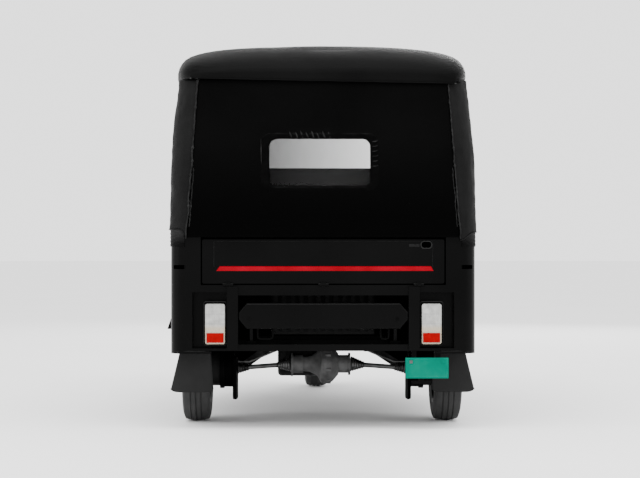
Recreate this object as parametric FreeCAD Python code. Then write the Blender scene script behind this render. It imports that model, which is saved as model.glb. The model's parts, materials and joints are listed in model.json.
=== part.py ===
import FreeCAD, Part
import math
import os

# Electric auto rickshaw with a fabric hood
# X points to the vehicle's right, Y forward and Z up, in millimetres.
# The origin is on the ground under the middle of the vehicle's length.

V = FreeCAD.Vector
UP = V(0, 0, 1)
AHEAD = V(0, 1, 0)
RIGHT = V(1, 0, 0)
ORIGIN = V(0, 0, 0)
FULL_TURN = 360

# Overall layout
wheelbase = 2010
rear_overhang = 500
bumper_proud = 30
body_half_width = 675
body_bottom_z = 352
floor_z = 405
waist_z = 865
hem_z = 1560
seat_gap = 0.3
cut_over = 5
moving_gap = 6

# Wheels and tyres
tyre_radius = 246
tyre_half_width = 64
tread_half_width = 54
tread_edge_drop = 9
rim_radius = 153
bead_half_width = 50
sidewall_radius = 205
groove_depth = 5
groove_width = 6
groove_pitch = 24
groove_offset_shares = (-1, 0, 1)
rim_wall = 5
rim_flange_height = 8
rim_flange_flare = 6
disc_offset = 18
disc_wall = 6
disc_dish = 12
hub_radius = 42
hub_half_length = 44
stud_count = 5
stud_circle = 29
stud_radius = 6
stud_length = 14
vent_count = 8
vent_circle = 104
vent_radius = 15
wheel_side_inset = 98
drum_radius = 84
drum_inner_offset = 110
rear_stub_radius = 17
front_stub_radius = 13
guard_clearance = 44

# Places that follow from the overall layout
axle_z = tyre_radius
guard_radius = tyre_radius + guard_clearance
half_length = (bumper_proud + rear_overhang + wheelbase + guard_radius) / 2
bumper_face_y = -half_length
rear_face_y = bumper_face_y + bumper_proud
rear_axle_y = rear_face_y + rear_overhang
front_axle_y = rear_axle_y + wheelbase
rear_wheel_x = body_half_width - wheel_side_inset
guard_top_z = axle_z + guard_radius

# Steering
rake_deg = 24
axis_ground_lead = 50
column_radius = 21
head_tube_wall = 7
head_tube_length = 232
well_head_room = 104
crown_drop = 3
crown_length = 42
stem_length = 113
axis_ground_y = front_axle_y + axis_ground_lead
axis_slope = math.tan(math.radians(rake_deg))
well_top_z = guard_top_z + well_head_room
head_tube_top_z = well_top_z + head_tube_length
handlebar_z = head_tube_top_z + stem_length
crown_bottom_z = guard_top_z - crown_drop
crown_top_z = crown_bottom_z + crown_length

# Fork, front suspension and mudguard
guard_sheet = 5
guard_half_width = 86
guard_front_deg = 0
guard_rear_deg = 152
guard_lip = 26
guard_shoulder_in = 9
guard_shoulder_drop = 6
guard_boss_drop = 86
guard_boss_radius = 8
guard_stay_deg = 35
guard_stay_radius = 5
fork_tube_radius = 23
fork_eye_half = 26
fork_side = 122
fork_shoulder_rise = 23
fork_pivot_rise = 54
fork_pivot_back = 128
fork_bend = 34
link_thick = 14
link_end_radius = 30
backing_radius = 78
backing_thick = 6
front_drum_radius = 70
front_drum_inner_offset = 70
front_spring_radius = 27
front_spring_x = 178
front_spring_ahead = 85
front_spring_head_drop = 56
fork_shoulder_z = crown_bottom_z + fork_shoulder_rise
fork_pivot_z = axle_z + fork_pivot_rise

# Handlebar
bar_radius = 13
bar_half_width = 315
bar_rise = 55
bar_back = 95
bar_shoulder = 95
bar_bend = 40
grip_radius = 18
grip_length = 118
grip_cap = 6
pod_radius = 62
pod_height = 62
pod_end_radius = 42
pod_slope = 20

# Apron: levels from the bottom of the body upward, set in from its widest line and
# back from the front axle
apron_rises = (0, 118, 248, 408, 568, 698)
apron_side_insets = (139, 115, 97, 85, 83, 93)
apron_front_backs = (220, 160, 95, 53, 59, 115)
apron_rear_backs = (425, 420, 403, 365, 325, 293)
plan_power = 2.6
apron_wall = 22
outline_points = 15
apron_levels = [body_bottom_z + rise for rise in apron_rises]
apron_half_widths = [body_half_width - inset for inset in apron_side_insets]
apron_front_ys = [front_axle_y - back for back in apron_front_backs]
apron_back_ys = [front_axle_y - back for back in apron_rear_backs]
apron_top_z = apron_levels[-1]

# Windscreen frame: levels from the top of the apron to above the roof's hem
screen_above_hem = 92
screen_level_shares = (0, 0.33, 0.66, 1)
screen_side_insets = (93, 99, 113, 143)
screen_front_backs = (115, 195, 277, 367)
screen_rear_backs = (293, 357, 427, 507)
screen_wall = 30
glass_wall = 6
glass_inset = 12
glass_side_margin = 80
glass_bottom_margin = 62
glass_top_margin = 64
glass_corner = 70
screen_foot_z = apron_top_z + seat_gap
screen_top_z = hem_z + screen_above_hem
screen_levels = [screen_foot_z + (screen_top_z - screen_foot_z) * s for s in screen_level_shares]
screen_half_widths = [body_half_width - inset for inset in screen_side_insets]
screen_front_ys = [front_axle_y - back for back in screen_front_backs]
screen_back_ys = [front_axle_y - back for back in screen_rear_backs]
glass_bottom_z = apron_top_z + glass_bottom_margin
glass_top_z = screen_top_z - glass_top_margin

# Front wheel well
well_radius = 332
well_centre_back = 23
well_wall = 8
gusset_reach = 126
gusset_thick = 14
well_centre_y = front_axle_y - well_centre_back

# Dashboard
dash_side_inset = 155
dash_back = 260
dash_front = 55
dash_drop = 148
dash_height = 96
dash_wall = 24
dial_pod_half_width = 88
dial_pod_back = 220
dial_pod_front = 175
dial_pod_drop = 40
dash_half_width = body_half_width - dash_side_inset
dash_back_y = front_axle_y - dash_back
dash_front_y = front_axle_y - dash_front
dash_top_z = apron_top_z - dash_drop
dash_bottom_z = dash_top_z - dash_height
dial_pod_back_y = front_axle_y - dial_pod_back
dial_pod_front_y = front_axle_y - dial_pod_front
dial_pod_top_z = apron_top_z - dial_pod_drop

# Lamps at the front
headlamp_side_inset = 323
headlamp_drop = 260
headlamp_radius = 92
headlamp_back = 140
headlamp_front = 43
headlamp_lens_radius = 80
headlamp_bowl_radius = 40
headlamp_bowl_depth = 38
headlamp_lens_dome = 16
headlamp_lens_seat = 20
lens_steps = 5
indicator_side_inset = 175
indicator_drop = 105
indicator_half_width = 40
indicator_half_height = 24
indicator_round = 10
headlamp_x = body_half_width - headlamp_side_inset
headlamp_z = apron_top_z - headlamp_drop
headlamp_back_y = front_axle_y - headlamp_back
headlamp_front_y = front_axle_y - headlamp_front
indicator_x = body_half_width - indicator_side_inset
indicator_z = apron_top_z - indicator_drop

# Rear body panels and the side line of the cab
panel_wall = 28
panel_corner = 74
panel_wrap = 100
quarter_front_bottom_ahead = 433
quarter_front_top_ahead = 285
arch_clearance = 54
arch_lip = 26
arch_lip_proud = 7
tub_clearance = 6
tub_wall = 7
tub_reach = 179
side_inner_x = body_half_width - panel_wall - seat_gap
quarter_front_bottom_y = rear_axle_y + quarter_front_bottom_ahead
quarter_front_top_y = rear_axle_y + quarter_front_top_ahead
arch_radius = tyre_radius + arch_clearance
tub_radius = arch_radius + tub_clearance
tub_inner_x = rear_wheel_x - tub_reach

# Floor, sills and underframe
floor_sheet = 9
floor_link_inset = 60
floor_link_reach = 30
sill_height = 76
sill_wall = 30
sill_middle_inset = 25
rail_side_inset = 357
rail_width = 44
rail_height = 40
rail_front_gap = 10
cross_width = 50
rear_cross_back = 340
pivot_cross_ahead = 345
front_cross_back = 505
transaxle_cross_back = 20
transaxle_cross_width = 60
tow_eye_radius = 11
tow_eye_outer = 24
tow_eye_thick = 14
tow_eye_x = -160
tow_eye_drop = 24
sill_top_z = body_bottom_z + sill_height
sill_middle_half_width = body_half_width - sill_middle_inset
sill_back_y = quarter_front_bottom_y + seat_gap
sill_front_y = apron_back_ys[0] - seat_gap
sill_middle_y = (sill_back_y + sill_front_y) / 2
outrigger_y = sill_middle_y
rail_x = body_half_width - rail_side_inset
rail_top_z = floor_z - floor_sheet - seat_gap
rail_bottom_z = rail_top_z - rail_height
rail_back_y = rear_face_y + panel_wall + seat_gap
rail_front_y = sill_front_y - rail_front_gap
rear_cross_y = rear_axle_y - rear_cross_back
pivot_cross_y = rear_axle_y + pivot_cross_ahead
front_cross_y = front_axle_y - front_cross_back
tow_eye_z = rail_bottom_z - tow_eye_drop

# Battery, motor controller, motor and transaxle
battery_side_gap = 11
battery_back_gap = 85
battery_front_gap = 125
battery_drop = 52
battery_lid = 18
battery_groove = 9
controller_half_width = 230
controller_depth = 260
controller_back_gap = 95
controller_height = 188
controller_rib_count = 12
controller_rib_depth = 24
controller_rib_width = 19
controller_rib_margin = 12
motor_gap = 6
motor_rise = 42
motor_radius = 92
motor_core_radius = 85
motor_left_x = -205
motor_rib_count = 9
motor_cap_width = 22
motor_cap_slope = 7
case_left_x = -20
case_right_x = 78
case_seam_width = 10
case_seam_proud = 6
case_radius = 88
output_rise = 16
output_radius = 42
output_length = 46
output_flange_radius = 52
output_flange_width = 10
nose_radius = 34
nose_left_x = -132
mount_pad_half_width = 38
mount_pad_half_depth = 16
battery_half_width = rail_x - rail_width / 2 - battery_side_gap
battery_back_y = pivot_cross_y + cross_width / 2 + battery_back_gap
battery_front_y = front_cross_y - cross_width / 2 - battery_front_gap
battery_bottom_z = body_bottom_z - battery_drop
controller_back_y = rear_face_y + controller_back_gap
motor_z = axle_z + motor_rise
motor_ahead = output_flange_radius + motor_radius + motor_gap
output_z = axle_z + output_rise

# Drive shafts and rear suspension
shaft_radius = 11
shaft_outer_drop = 4
boot_big_radius = 37
boot_outer_radius = 30
boot_small_radius = 17
boot_length = 68
boot_rings = 6
boot_ring_depth = 5
boot_crest_share = 0.25
boot_valley_share = 0.75
carrier_gap = 11
carrier_width = 52
carrier_radius = 90
arm_pivot_ahead = 385
arm_pivot_gap = 8
arm_pivot_inner_reach = 104
arm_pivot_outer_reach = 74
arm_pivot_radius = 26
arm_pin_radius = 9
arm_ear_thick = 10
arm_thick = 44
arm_tail_ahead = 44
arm_shoulder_ahead = 78
blade_thick = 9
blade_back = 66
blade_half_length = 30
blade_drop = 143
blade_rise = 54
blade_tip_radius = 14
spring_gap = 10
spring_radius = 35
spring_wire_radius = 6
spring_turns = 6
spring_foot = 12
spring_seat_lip = 2
front_spring_turns = 6
spring_seat_gap = 2
spring_seat_thick = 8
spring_neck = 18
damper_radius = 17
spring_pin_radius = 8.5
pipe_radius = 5
pipe_run = 68
pipe_inner_gap = 90
pipe_rise = 29
pipe_top_drop = 26
pipe_back = 30
pipe_bend = 12
shaft_outer_z = axle_z - shaft_outer_drop
carrier_outer_x = rear_wheel_x - drum_inner_offset - carrier_gap
carrier_inner_x = carrier_outer_x - carrier_width
arm_pivot_y = rear_axle_y + arm_pivot_ahead
arm_pivot_z = rail_bottom_z - arm_pivot_radius - arm_pivot_gap
arm_pivot_inner_x = rail_x - arm_pivot_inner_reach
arm_pivot_outer_x = rail_x + arm_pivot_outer_reach
spring_x = rear_wheel_x - tyre_half_width - spring_gap - spring_radius
spring_bottom_z = axle_z + carrier_radius + spring_seat_gap + spring_seat_thick
pipe_outer_x = carrier_inner_x - pipe_run
pipe_inner_x = rail_x - rail_width / 2 - pipe_inner_gap
pipe_z = axle_z + pipe_rise
pipe_top_z = rail_bottom_z - pipe_top_drop

# Openings and posts of the rear panel
aperture_side_inset = 135
aperture_drop = 12
aperture_height = 210
lamp_bay_side_inset = 98
lamp_bay_width = 151
lamp_bay_rise = 12
lamp_bay_top_drop = 32
lamp_bay_depth = 30
lamp_bay_sheet = 6
post_half_width = 24
post_gap = 2
post_proud = 13
post_foot_rise = 3
post_top_drop = 6
middle_bay_rise = 29
middle_bay_top_drop = 14
middle_bay_gap = 1
slot_rise = 70
slot_height = 18
slot_inner_inset = 68
slot_outer_inset = 12
slot_depth = 14
aperture_half_width = body_half_width - aperture_side_inset
aperture_top_z = waist_z - aperture_drop
aperture_bottom_z = aperture_top_z - aperture_height
slot_bottom_z = aperture_bottom_z + slot_rise
lamp_bay_outer_x = body_half_width - lamp_bay_side_inset
lamp_bay_inner_x = lamp_bay_outer_x - lamp_bay_width
lamp_bay_bottom_z = body_bottom_z + lamp_bay_rise
lamp_bay_top_z = aperture_bottom_z - lamp_bay_top_drop
post_x = lamp_bay_inner_x - post_gap - post_half_width
post_bottom_z = body_bottom_z + post_foot_rise
post_top_z = aperture_bottom_z - post_top_drop
middle_bay_half_width = post_x - post_half_width - middle_bay_gap
middle_bay_bottom_z = body_bottom_z + middle_bay_rise
middle_bay_top_z = lamp_bay_top_z - middle_bay_top_drop

# Tailgate
tailgate_side_gap = 6
tailgate_bottom_gap = 6
tailgate_top_gap = 9
tailgate_wall = 24
tailgate_corner = 8
tailgate_field_side = 52
tailgate_field_rise = 79
tailgate_field_proud = 2
hinge_rise = 2
hinge_radius = 7
hinge_pin_radius = 3
hinge_out = 9
hinge_web = 5
hinge_side_inset = 120
hinge_leaf_length = 46
hinge_ear_length = 12
latch_side_inset = 85
latch_drop = 24
latch_half_width = 17
latch_half_height = 16
latch_recess = 9
latch_thick = 5
tailgate_bottom_z = aperture_bottom_z + tailgate_bottom_gap
tailgate_top_z = aperture_top_z - tailgate_top_gap
hinge_z = aperture_bottom_z + hinge_rise
hinge_xs = (hinge_side_inset - aperture_half_width, 0, aperture_half_width - hinge_side_inset)
latch_x = aperture_half_width - latch_side_inset
latch_z = tailgate_top_z - latch_drop

# Bumper, lamps, plate and mud flaps at the rear
bumper_side_gap = 3
bumper_rise = 69
bumper_height = 114
bumper_depth = 42
bumper_corner = 10
bumper_point = 34
bumper_wall = 6
bumper_bolt_inset = 47
bumper_bolt_rise = 45
bumper_bolt_radius = 7
bumper_bolt_head = 4
bumper_stay_thick = 14
bumper_stay_foot = 52
lamp_side_gap = 3
lamp_width = 95
lamp_rise = 17
lamp_height = 186
lamp_proud = 14
lamp_round = 9
lamp_red_side = 10
lamp_red_bottom = 9
lamp_red_height = 42
lamp_red_proud = 4
lamp_red_depth = 24
plate_width = 190
plate_height = 98
plate_thick = 2
plate_post_offset = 57
plate_drop = 72
plate_set_in = 2
plate_hole_radius = 3.2
plate_hole_spacing = 140
plate_hole_rise = 24
plate_corner = 5
bracket_thick = 4
bracket_width = 170
bracket_height = 66
bracket_leg_width = 22
bracket_leg_offsets = (-57, 49)
bracket_bar_offset = -25
bracket_bar_half_width = 43
bracket_bar_drop = 59
bracket_bar_height = 16
flap_thick = 7
flap_above_rail = 10
flap_hang = 85
flap_inner_top_inset = 169
flap_outer_top_inset = 32
flap_inner_bottom_inset = 183
flap_outer_bottom_inset = -9
flap_corner = 14
bumper_half_width = middle_bay_half_width - bumper_side_gap
bumper_bottom_z = middle_bay_bottom_z + bumper_rise
bumper_top_z = bumper_bottom_z + bumper_height
bumper_bolt_x = bumper_half_width - bumper_bolt_inset
bumper_bolt_z = bumper_bottom_z + bumper_bolt_rise
lamp_inner_x = lamp_bay_inner_x + lamp_side_gap
lamp_outer_x = lamp_inner_x + lamp_width
lamp_bottom_z = lamp_bay_bottom_z + lamp_rise
lamp_top_z = lamp_bottom_z + lamp_height
plate_centre_x = post_x + plate_post_offset
plate_centre_z = body_bottom_z - plate_drop

# Seats and partition
seat_front_ahead = 385
seat_depth = 500
seat_side_gap = 47
deck_clearance = 49
deck_sheet = 12
cushion_thick = 118
cushion_round = 26
backrest_thick = 90
backrest_lean = 105
backrest_height = 540
partition_back = 1145
partition_wall = 24
partition_side_inset = 63
partition_height = 715
partition_corner = 60
driver_base_gap = 106
driver_base_depth = 360
driver_base_half_width = 200
driver_base_height = 235
driver_seat_half_width = 225
driver_seat_behind = 20
driver_seat_ahead = 30
driver_seat_thick = 88
driver_back_half_width = 220
driver_back_rise = 395
driver_back_height = 340
driver_back_thick = 74
driver_back_round = 22
deck_top_z = axle_z + tub_radius + tub_wall + deck_clearance + deck_sheet
seat_front_y = rear_axle_y + seat_front_ahead
seat_back_y = seat_front_y - seat_depth
seat_half_width = side_inner_x - seat_side_gap
backrest_top_z = deck_top_z + backrest_height
partition_y = front_axle_y - partition_back
partition_half_width = body_half_width - partition_side_inset
partition_top_z = floor_z + partition_height
driver_base_back_y = partition_y + partition_wall + driver_base_gap
driver_base_front_y = driver_base_back_y + driver_base_depth
driver_base_top_z = floor_z + driver_base_height
driver_seat_back_y = driver_base_back_y - driver_seat_behind
driver_seat_front_y = driver_base_front_y + driver_seat_ahead
driver_back_bottom_z = floor_z + driver_back_rise
driver_back_top_z = driver_back_bottom_z + driver_back_height

# Roof frame
post_tube_radius = 15
roof_tube_radius = 13
roof_rail_above_hem = 30
roof_bend = 60
tube_gap = 1
bow_stations = (1, 2, 3, 4, 5, 7)
bow_x_shares = (0.6, 0.86, 0.985)
front_post_inset = 32
rear_post_inset = 53
guard_tube_radius = 11
guard_rail_rises = (195, 355)
guard_rail_inset = 15
roof_rail_z = hem_z + roof_rail_above_hem
front_post_x = body_half_width - front_post_inset
front_post_y = partition_y + partition_wall / 2
rear_post_x = body_half_width - rear_post_inset
guard_rail_x = body_half_width - guard_rail_inset

# Hood: stations from the windscreen back to the curtain
hood_cloth = 12
hood_power_across = 2.5
hood_power_up = 5
hood_front_back = 413
hood_rear_ahead = 93
hood_station_shares = (0, 0.146, 0.315, 0.535, 0.7345, 0.859, 0.929, 0.974, 1)
hood_side_insets = (115, 63, 31, 13, 7, 15, 29, 47, 75)
hood_rises = (186, 212, 218, 198, 172, 140, 95, 45)
hood_points = 19
hood_front_y = front_axle_y - hood_front_back
hood_back_y = rear_face_y + hood_rear_ahead
hood_station_ys = [hood_front_y + (hood_back_y - hood_front_y) * s for s in hood_station_shares]
hood_half_widths = [body_half_width - inset for inset in hood_side_insets]
hood_top_zs = [screen_top_z + seat_gap + hood_cloth] + [hem_z + rise for rise in hood_rises]

# Curtain, window and corner flaps
curtain_thick = 10
curtain_top_ahead = 8
curtain_bottom_out = 15
window_offset_x = -15
window_half_width = 223
window_bottom_share = 0.321
window_top_share = 0.617
window_corner = 34
window_film = 2
window_film_inset = 4
flap_side_bottom_out = 12
flap_side_top_in = 23
flap_corner_bottom = 85
flap_corner_top = 96
flap_front_bottom_ahead = 85
flap_front_top_ahead = 245
curtain_top_y = hood_back_y + curtain_top_ahead
curtain_bottom_y = rear_face_y - curtain_bottom_out
curtain_bottom_z = aperture_top_z
curtain_height = hem_z - curtain_bottom_z
window_bottom_z = curtain_bottom_z + curtain_height * window_bottom_share
window_top_z = curtain_bottom_z + curtain_height * window_top_share
flap_side_bottom_x = body_half_width + flap_side_bottom_out
flap_side_top_x = body_half_width - flap_side_top_in
curtain_bottom_half_width = flap_side_bottom_x - flap_corner_bottom
curtain_top_half_width = flap_side_top_x - flap_corner_top
side_front_bottom_y = rear_axle_y + flap_front_bottom_ahead
side_front_top_y = rear_axle_y + flap_front_top_ahead

# Mirrors and brake pedal
mirror_side_out = 63
mirror_back = 313
mirror_rise = 218
mirror_half_width = 46
mirror_half_height = 82
mirror_depth = 26
mirror_corner = 26
mirror_stalk_radius = 6
mirror_stalk_bend = 12
mirror_stalk_rise = 30
mirror_foot_back = 257
mirror_foot_rise = 70
mirror_foot_inset = 22
pedal_x = 235
pedal_half_width = 34
pedal_gap = 126
pedal_rise = 115
pedal_thick = 10
pedal_height = 56
pedal_arm_radius = 8
pedal_arm_bend = 16
mirror_x = body_half_width + mirror_side_out
mirror_y = front_axle_y - mirror_back
mirror_z = apron_top_z + mirror_rise
mirror_foot_x = screen_half_widths[0] - mirror_foot_inset
mirror_foot_y = front_axle_y - mirror_foot_back
mirror_foot_z = apron_top_z + mirror_foot_rise
pedal_y = well_centre_y - math.sqrt((well_radius + well_wall) ** 2 - pedal_x ** 2) - pedal_gap
pedal_z = floor_z + pedal_rise


# Helpers

def block(xs, ys, zs):
    """A box between two values on each axis."""
    low = V(min(xs), min(ys), min(zs))
    return Part.makeBox(abs(xs[1] - xs[0]), abs(ys[1] - ys[0]), abs(zs[1] - zs[0]), low)


def rod(start, end, radius):
    """A round bar between two points."""
    return Part.makeCylinder(radius, (end - start).Length, start, end - start)


def fused(shapes):
    """One solid from touching or overlapping ones."""
    whole = shapes[0].fuse(shapes[1:]) if len(shapes) > 1 else shapes[0]
    return whole.removeSplitter()


def mirrored(shape):
    """The same piece on the vehicle's other side."""
    return shape.mirror(ORIGIN, RIGHT)


def pair(shape):
    """A piece and its mirror image, as separate solids."""
    return Part.makeCompound([shape, mirrored(shape)])


def closed_wire(points):
    """A closed outline with straight sides."""
    return Part.makePolygon(list(points) + [points[0]])


def prism(points, direction):
    """A flat outline pushed along a direction."""
    return Part.Face(closed_wire(points)).extrude(direction)


def rounded_wire(corners, radius):
    """A closed outline whose corners are arcs of one radius."""
    edges, count = [], len(corners)
    starts, ends, middles = [], [], []
    for i, corner in enumerate(corners):
        before = (corners[i - 1] - corner).normalize()
        after = (corners[(i + 1) % count] - corner).normalize()
        half = before.getAngle(after) / 2
        reach = radius / math.tan(half)
        starts.append(corner + before * reach)
        ends.append(corner + after * reach)
        inward = (before + after).normalize()
        middles.append(corner + inward * (radius / math.sin(half) - radius))
    for i in range(count):
        edges.append(Part.Arc(starts[i], middles[i], ends[i]).toShape())
        edges.append(Part.LineSegment(ends[i], starts[(i + 1) % count]).toShape())
    return Part.Wire(edges)


def rounded_prism(corners, radius, direction):
    """A flat outline with round corners, pushed along a direction."""
    return Part.Face(rounded_wire(corners, radius)).extrude(direction)


def bent_rod(points, radius, bend):
    """A round bar along straight runs joined by arcs."""
    edges, last = [], points[0]
    for i in range(1, len(points) - 1):
        corner = points[i]
        before = (points[i - 1] - corner).normalize()
        after = (points[i + 1] - corner).normalize()
        half = before.getAngle(after) / 2
        reach = bend / math.tan(half)
        start, end = corner + before * reach, corner + after * reach
        inward = (before + after).normalize()
        middle = corner + inward * (bend / math.sin(half) - bend)
        edges.append(Part.LineSegment(last, start).toShape())
        edges.append(Part.Arc(start, middle, end).toShape())
        last = end
    edges.append(Part.LineSegment(last, points[-1]).toShape())
    path = Part.Wire(edges)
    ring = Part.Wire([Part.makeCircle(radius, points[0], points[1] - points[0])])
    return path.makePipeShell([ring], True, True)


def turned(profile, foot, along):
    """A closed profile of (distance along, radius) pairs turned about an axis."""
    points = [V(radius, 0, distance) for distance, radius in profile]
    solid = Part.Face(closed_wire(points)).revolve(ORIGIN, UP, FULL_TURN)
    solid.Placement = FreeCAD.Placement(foot, FreeCAD.Rotation(UP, along))
    return solid


def smooth_edge(points):
    """One smooth curve through points."""
    curve = Part.BSplineCurve()
    curve.interpolate(points)
    return curve.toShape()


def plan_points(half_width, front_y, back_y, z, count):
    """Points of a rounded front in plan, from the left side round to the right."""
    points = []
    for i in range(count):
        turn = math.pi * (i / (count - 1) - 1 / 2)
        across, ahead = math.sin(turn), math.cos(turn)
        x = half_width * math.copysign(abs(across) ** (2 / plan_power), across)
        y = back_y + (front_y - back_y) * abs(ahead) ** (2 / plan_power)
        points.append(V(x, y, z))
    return points


def front_solid(levels, half_widths, front_ys, back_ys, inset):
    """The space inside the rounded front of the body, its sides set in by inset."""
    wires = []
    for z, half_width, front_y, back_y in zip(levels, half_widths, front_ys, back_ys):
        points = plan_points(half_width - inset, front_y - inset, back_y, z, outline_points)
        closing = Part.LineSegment(points[-1], points[0]).toShape()
        wires.append(Part.Wire([smooth_edge(points), closing]))
    return Part.makeLoft(wires, True)


def front_wall(levels, half_widths, front_ys, back_ys, wall):
    """A wall that follows the rounded front of the body."""
    wires = []
    for z, half_width, front_y, back_y in zip(levels, half_widths, front_ys, back_ys):
        outer = plan_points(half_width, front_y, back_y, z, outline_points)
        inner = plan_points(half_width - wall, front_y - wall, back_y, z, outline_points)
        inner.reverse()
        edges = [
            smooth_edge(outer),
            Part.LineSegment(outer[-1], inner[0]).toShape(),
            smooth_edge(inner),
            Part.LineSegment(inner[-1], outer[0]).toShape(),
        ]
        wires.append(Part.Wire(edges))
    return Part.makeLoft(wires, True)


def axis_point(z):
    """The point of the steering axis at a height."""
    return V(0, axis_ground_y - z * axis_slope, z)


# Wheels

def tyre(centre):
    """A tyre about a sideways axis, with grooves round its tread."""
    side = tyre_half_width
    shoulder_r = tyre_radius - tread_edge_drop
    sidewall_in = V(-side, 0, sidewall_radius)
    edges = [
        Part.LineSegment(V(-bead_half_width, 0, rim_radius), V(bead_half_width, 0, rim_radius)),
        Part.Arc(V(bead_half_width, 0, rim_radius), V(side, 0, sidewall_radius),
                 V(tread_half_width, 0, shoulder_r)),
        Part.Arc(V(tread_half_width, 0, shoulder_r), V(0, 0, tyre_radius),
                 V(-tread_half_width, 0, shoulder_r)),
        Part.Arc(V(-tread_half_width, 0, shoulder_r), sidewall_in,
                 V(-bead_half_width, 0, rim_radius)),
    ]
    face = Part.Face(Part.Wire([e.toShape() for e in edges]))
    solid = face.revolve(ORIGIN, RIGHT, FULL_TURN)
    for share in groove_offset_shares:
        middle = share * groove_pitch
        floor_r = tyre_radius - groove_depth - abs(share)
        cutter = turned(
            [(-groove_width / 2, floor_r), (groove_width / 2, floor_r),
             (groove_width / 2, tyre_radius + cut_over), (-groove_width / 2, tyre_radius + cut_over)],
            V(middle, 0, 0), RIGHT)
        solid = solid.cut(cutter)
    solid.translate(centre)
    return solid


def rim(centre, outward, stub_radius, drum_r, drum_to):
    """A steel disc wheel with its hub and brake drum. Outward is 1 or -1 along X."""
    edge = bead_half_width + seat_gap
    inner_r, outer_r = rim_radius - rim_wall, rim_radius + rim_flange_height
    bed_r = rim_radius - seat_gap
    bore_r = stub_radius + seat_gap
    dish_in = vent_circle - vent_radius - disc_dish
    dish_x = disc_offset + disc_dish
    dish_out = vent_circle + vent_radius + disc_wall
    section = [
        (-drum_to, bore_r), (-drum_to, drum_r - disc_wall), (disc_wall - drum_to, drum_r),
        (disc_offset, drum_r), (disc_offset, hub_radius),
        (dish_x, dish_in), (disc_offset + disc_wall, dish_out),
        (disc_offset - disc_wall, inner_r), (-edge - rim_wall, inner_r),
        (-edge - rim_flange_flare - rim_wall, outer_r), (-edge - rim_flange_flare, outer_r),
        (-edge, bed_r), (edge, bed_r), (edge + rim_flange_flare, outer_r),
        (edge + rim_flange_flare + rim_wall, outer_r),
        (edge + rim_wall, inner_r), (disc_offset, inner_r),
        (dish_x, dish_out), (dish_x + disc_wall, dish_in),
        (disc_offset + disc_wall, hub_radius), (hub_half_length, hub_radius),
        (hub_half_length, 0), (hub_half_length - disc_wall, 0),
        (hub_half_length - disc_wall, bore_r),
    ]
    whole = turned(section, ORIGIN, RIGHT)
    for k in range(vent_count):
        turn = 2 * math.pi * k / vent_count
        at = V(0, vent_circle * math.cos(turn), vent_circle * math.sin(turn))
        whole = whole.cut(rod(at, at + RIGHT * tyre_half_width, vent_radius))
    studs = []
    for k in range(stud_count):
        turn = 2 * math.pi * k / stud_count
        at = V(hub_half_length, stud_circle * math.cos(turn), stud_circle * math.sin(turn))
        studs.append(rod(at - RIGHT * disc_wall / 2, at + RIGHT * stud_length, stud_radius))
    whole = whole.fuse(studs)
    if outward < 0:
        whole = mirrored(whole)
    whole.translate(centre)
    return whole


# Steering assembly

def fork_pivot():
    """Where the short arm of the front suspension turns on the fork."""
    return V(-fork_side, front_axle_y - fork_pivot_back, fork_pivot_z)


def fork_shoulder():
    """Where the fork's arm turns down beside the wheel."""
    return V(-fork_side, axis_point(fork_shoulder_z).y + fork_bend / 2, fork_shoulder_z)


def fork_arm_point(z):
    """The middle of the fork's arm at a height."""
    high, low = fork_shoulder(), fork_pivot()
    return high + (low - high) * ((high.z - z) / (high.z - low.z))


def fork():
    """The steering column and the one-sided arm that it ends in."""
    column = rod(axis_point(crown_bottom_z), axis_point(handlebar_z), column_radius)
    crown = rod(axis_point(crown_bottom_z), axis_point(crown_top_z),
                column_radius + head_tube_wall)
    start = axis_point((crown_bottom_z + crown_top_z) / 2)
    arm = bent_rod([start, fork_shoulder(), fork_pivot()], fork_tube_radius, fork_bend)
    eye = rod(fork_pivot() - RIGHT * fork_eye_half, fork_pivot() + RIGHT * fork_eye_half,
              link_end_radius)
    return fused([column, crown, arm, eye])


def fork_link():
    """The short arm from the fork's pivot to the front axle, with the brake's backing plate."""
    inner_x = -fork_side + fork_eye_half + seat_gap
    pivot = V(inner_x, fork_pivot().y, fork_pivot().z)
    axle = V(inner_x, front_axle_y, axle_z)
    cheeks = [rod(p, p + RIGHT * link_thick, link_end_radius) for p in (pivot, axle)]
    side = (axle - pivot).normalize().cross(RIGHT) * link_end_radius
    web = prism([pivot + side, axle + side, axle - side, pivot - side], RIGHT * link_thick)
    plate_at = axle + RIGHT * link_thick
    backing = rod(plate_at, plate_at + RIGHT * backing_thick, backing_radius)
    stub = rod(axle, V(hub_half_length / 2, axle.y, axle.z), front_stub_radius)
    return fused(cheeks + [web, backing, stub])


def coil(length, radius, wire, turns):
    """A coil of round wire along Z, its ends sunk in the seats above and below."""
    sunk = spring_foot - wire / 2
    height = length - sunk * 2
    path = Part.makeHelix(height / turns, height, radius - wire)
    ring = Part.Wire([Part.makeCircle(wire, V(radius - wire, 0, 0), AHEAD)])
    spring = Part.Wire(path.Edges).makePipeShell([ring], True, True)
    spring.translate(UP * sunk)
    return spring


def strut(foot, head, radius, wire, turns):
    """A coil spring between two seats, round its damper."""
    length = (head - foot).Length
    seat_r = radius + spring_seat_lip
    core = turned([(0, 0), (0, seat_r), (spring_foot, seat_r), (spring_foot, damper_radius),
                   (length - spring_foot, damper_radius), (length - spring_foot, seat_r),
                   (length, seat_r), (length, 0)], ORIGIN, UP)
    whole = core.fuse(coil(length, radius, wire, turns))
    whole.Placement = FreeCAD.Placement(foot, FreeCAD.Rotation(UP, head - foot))
    return whole


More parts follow.
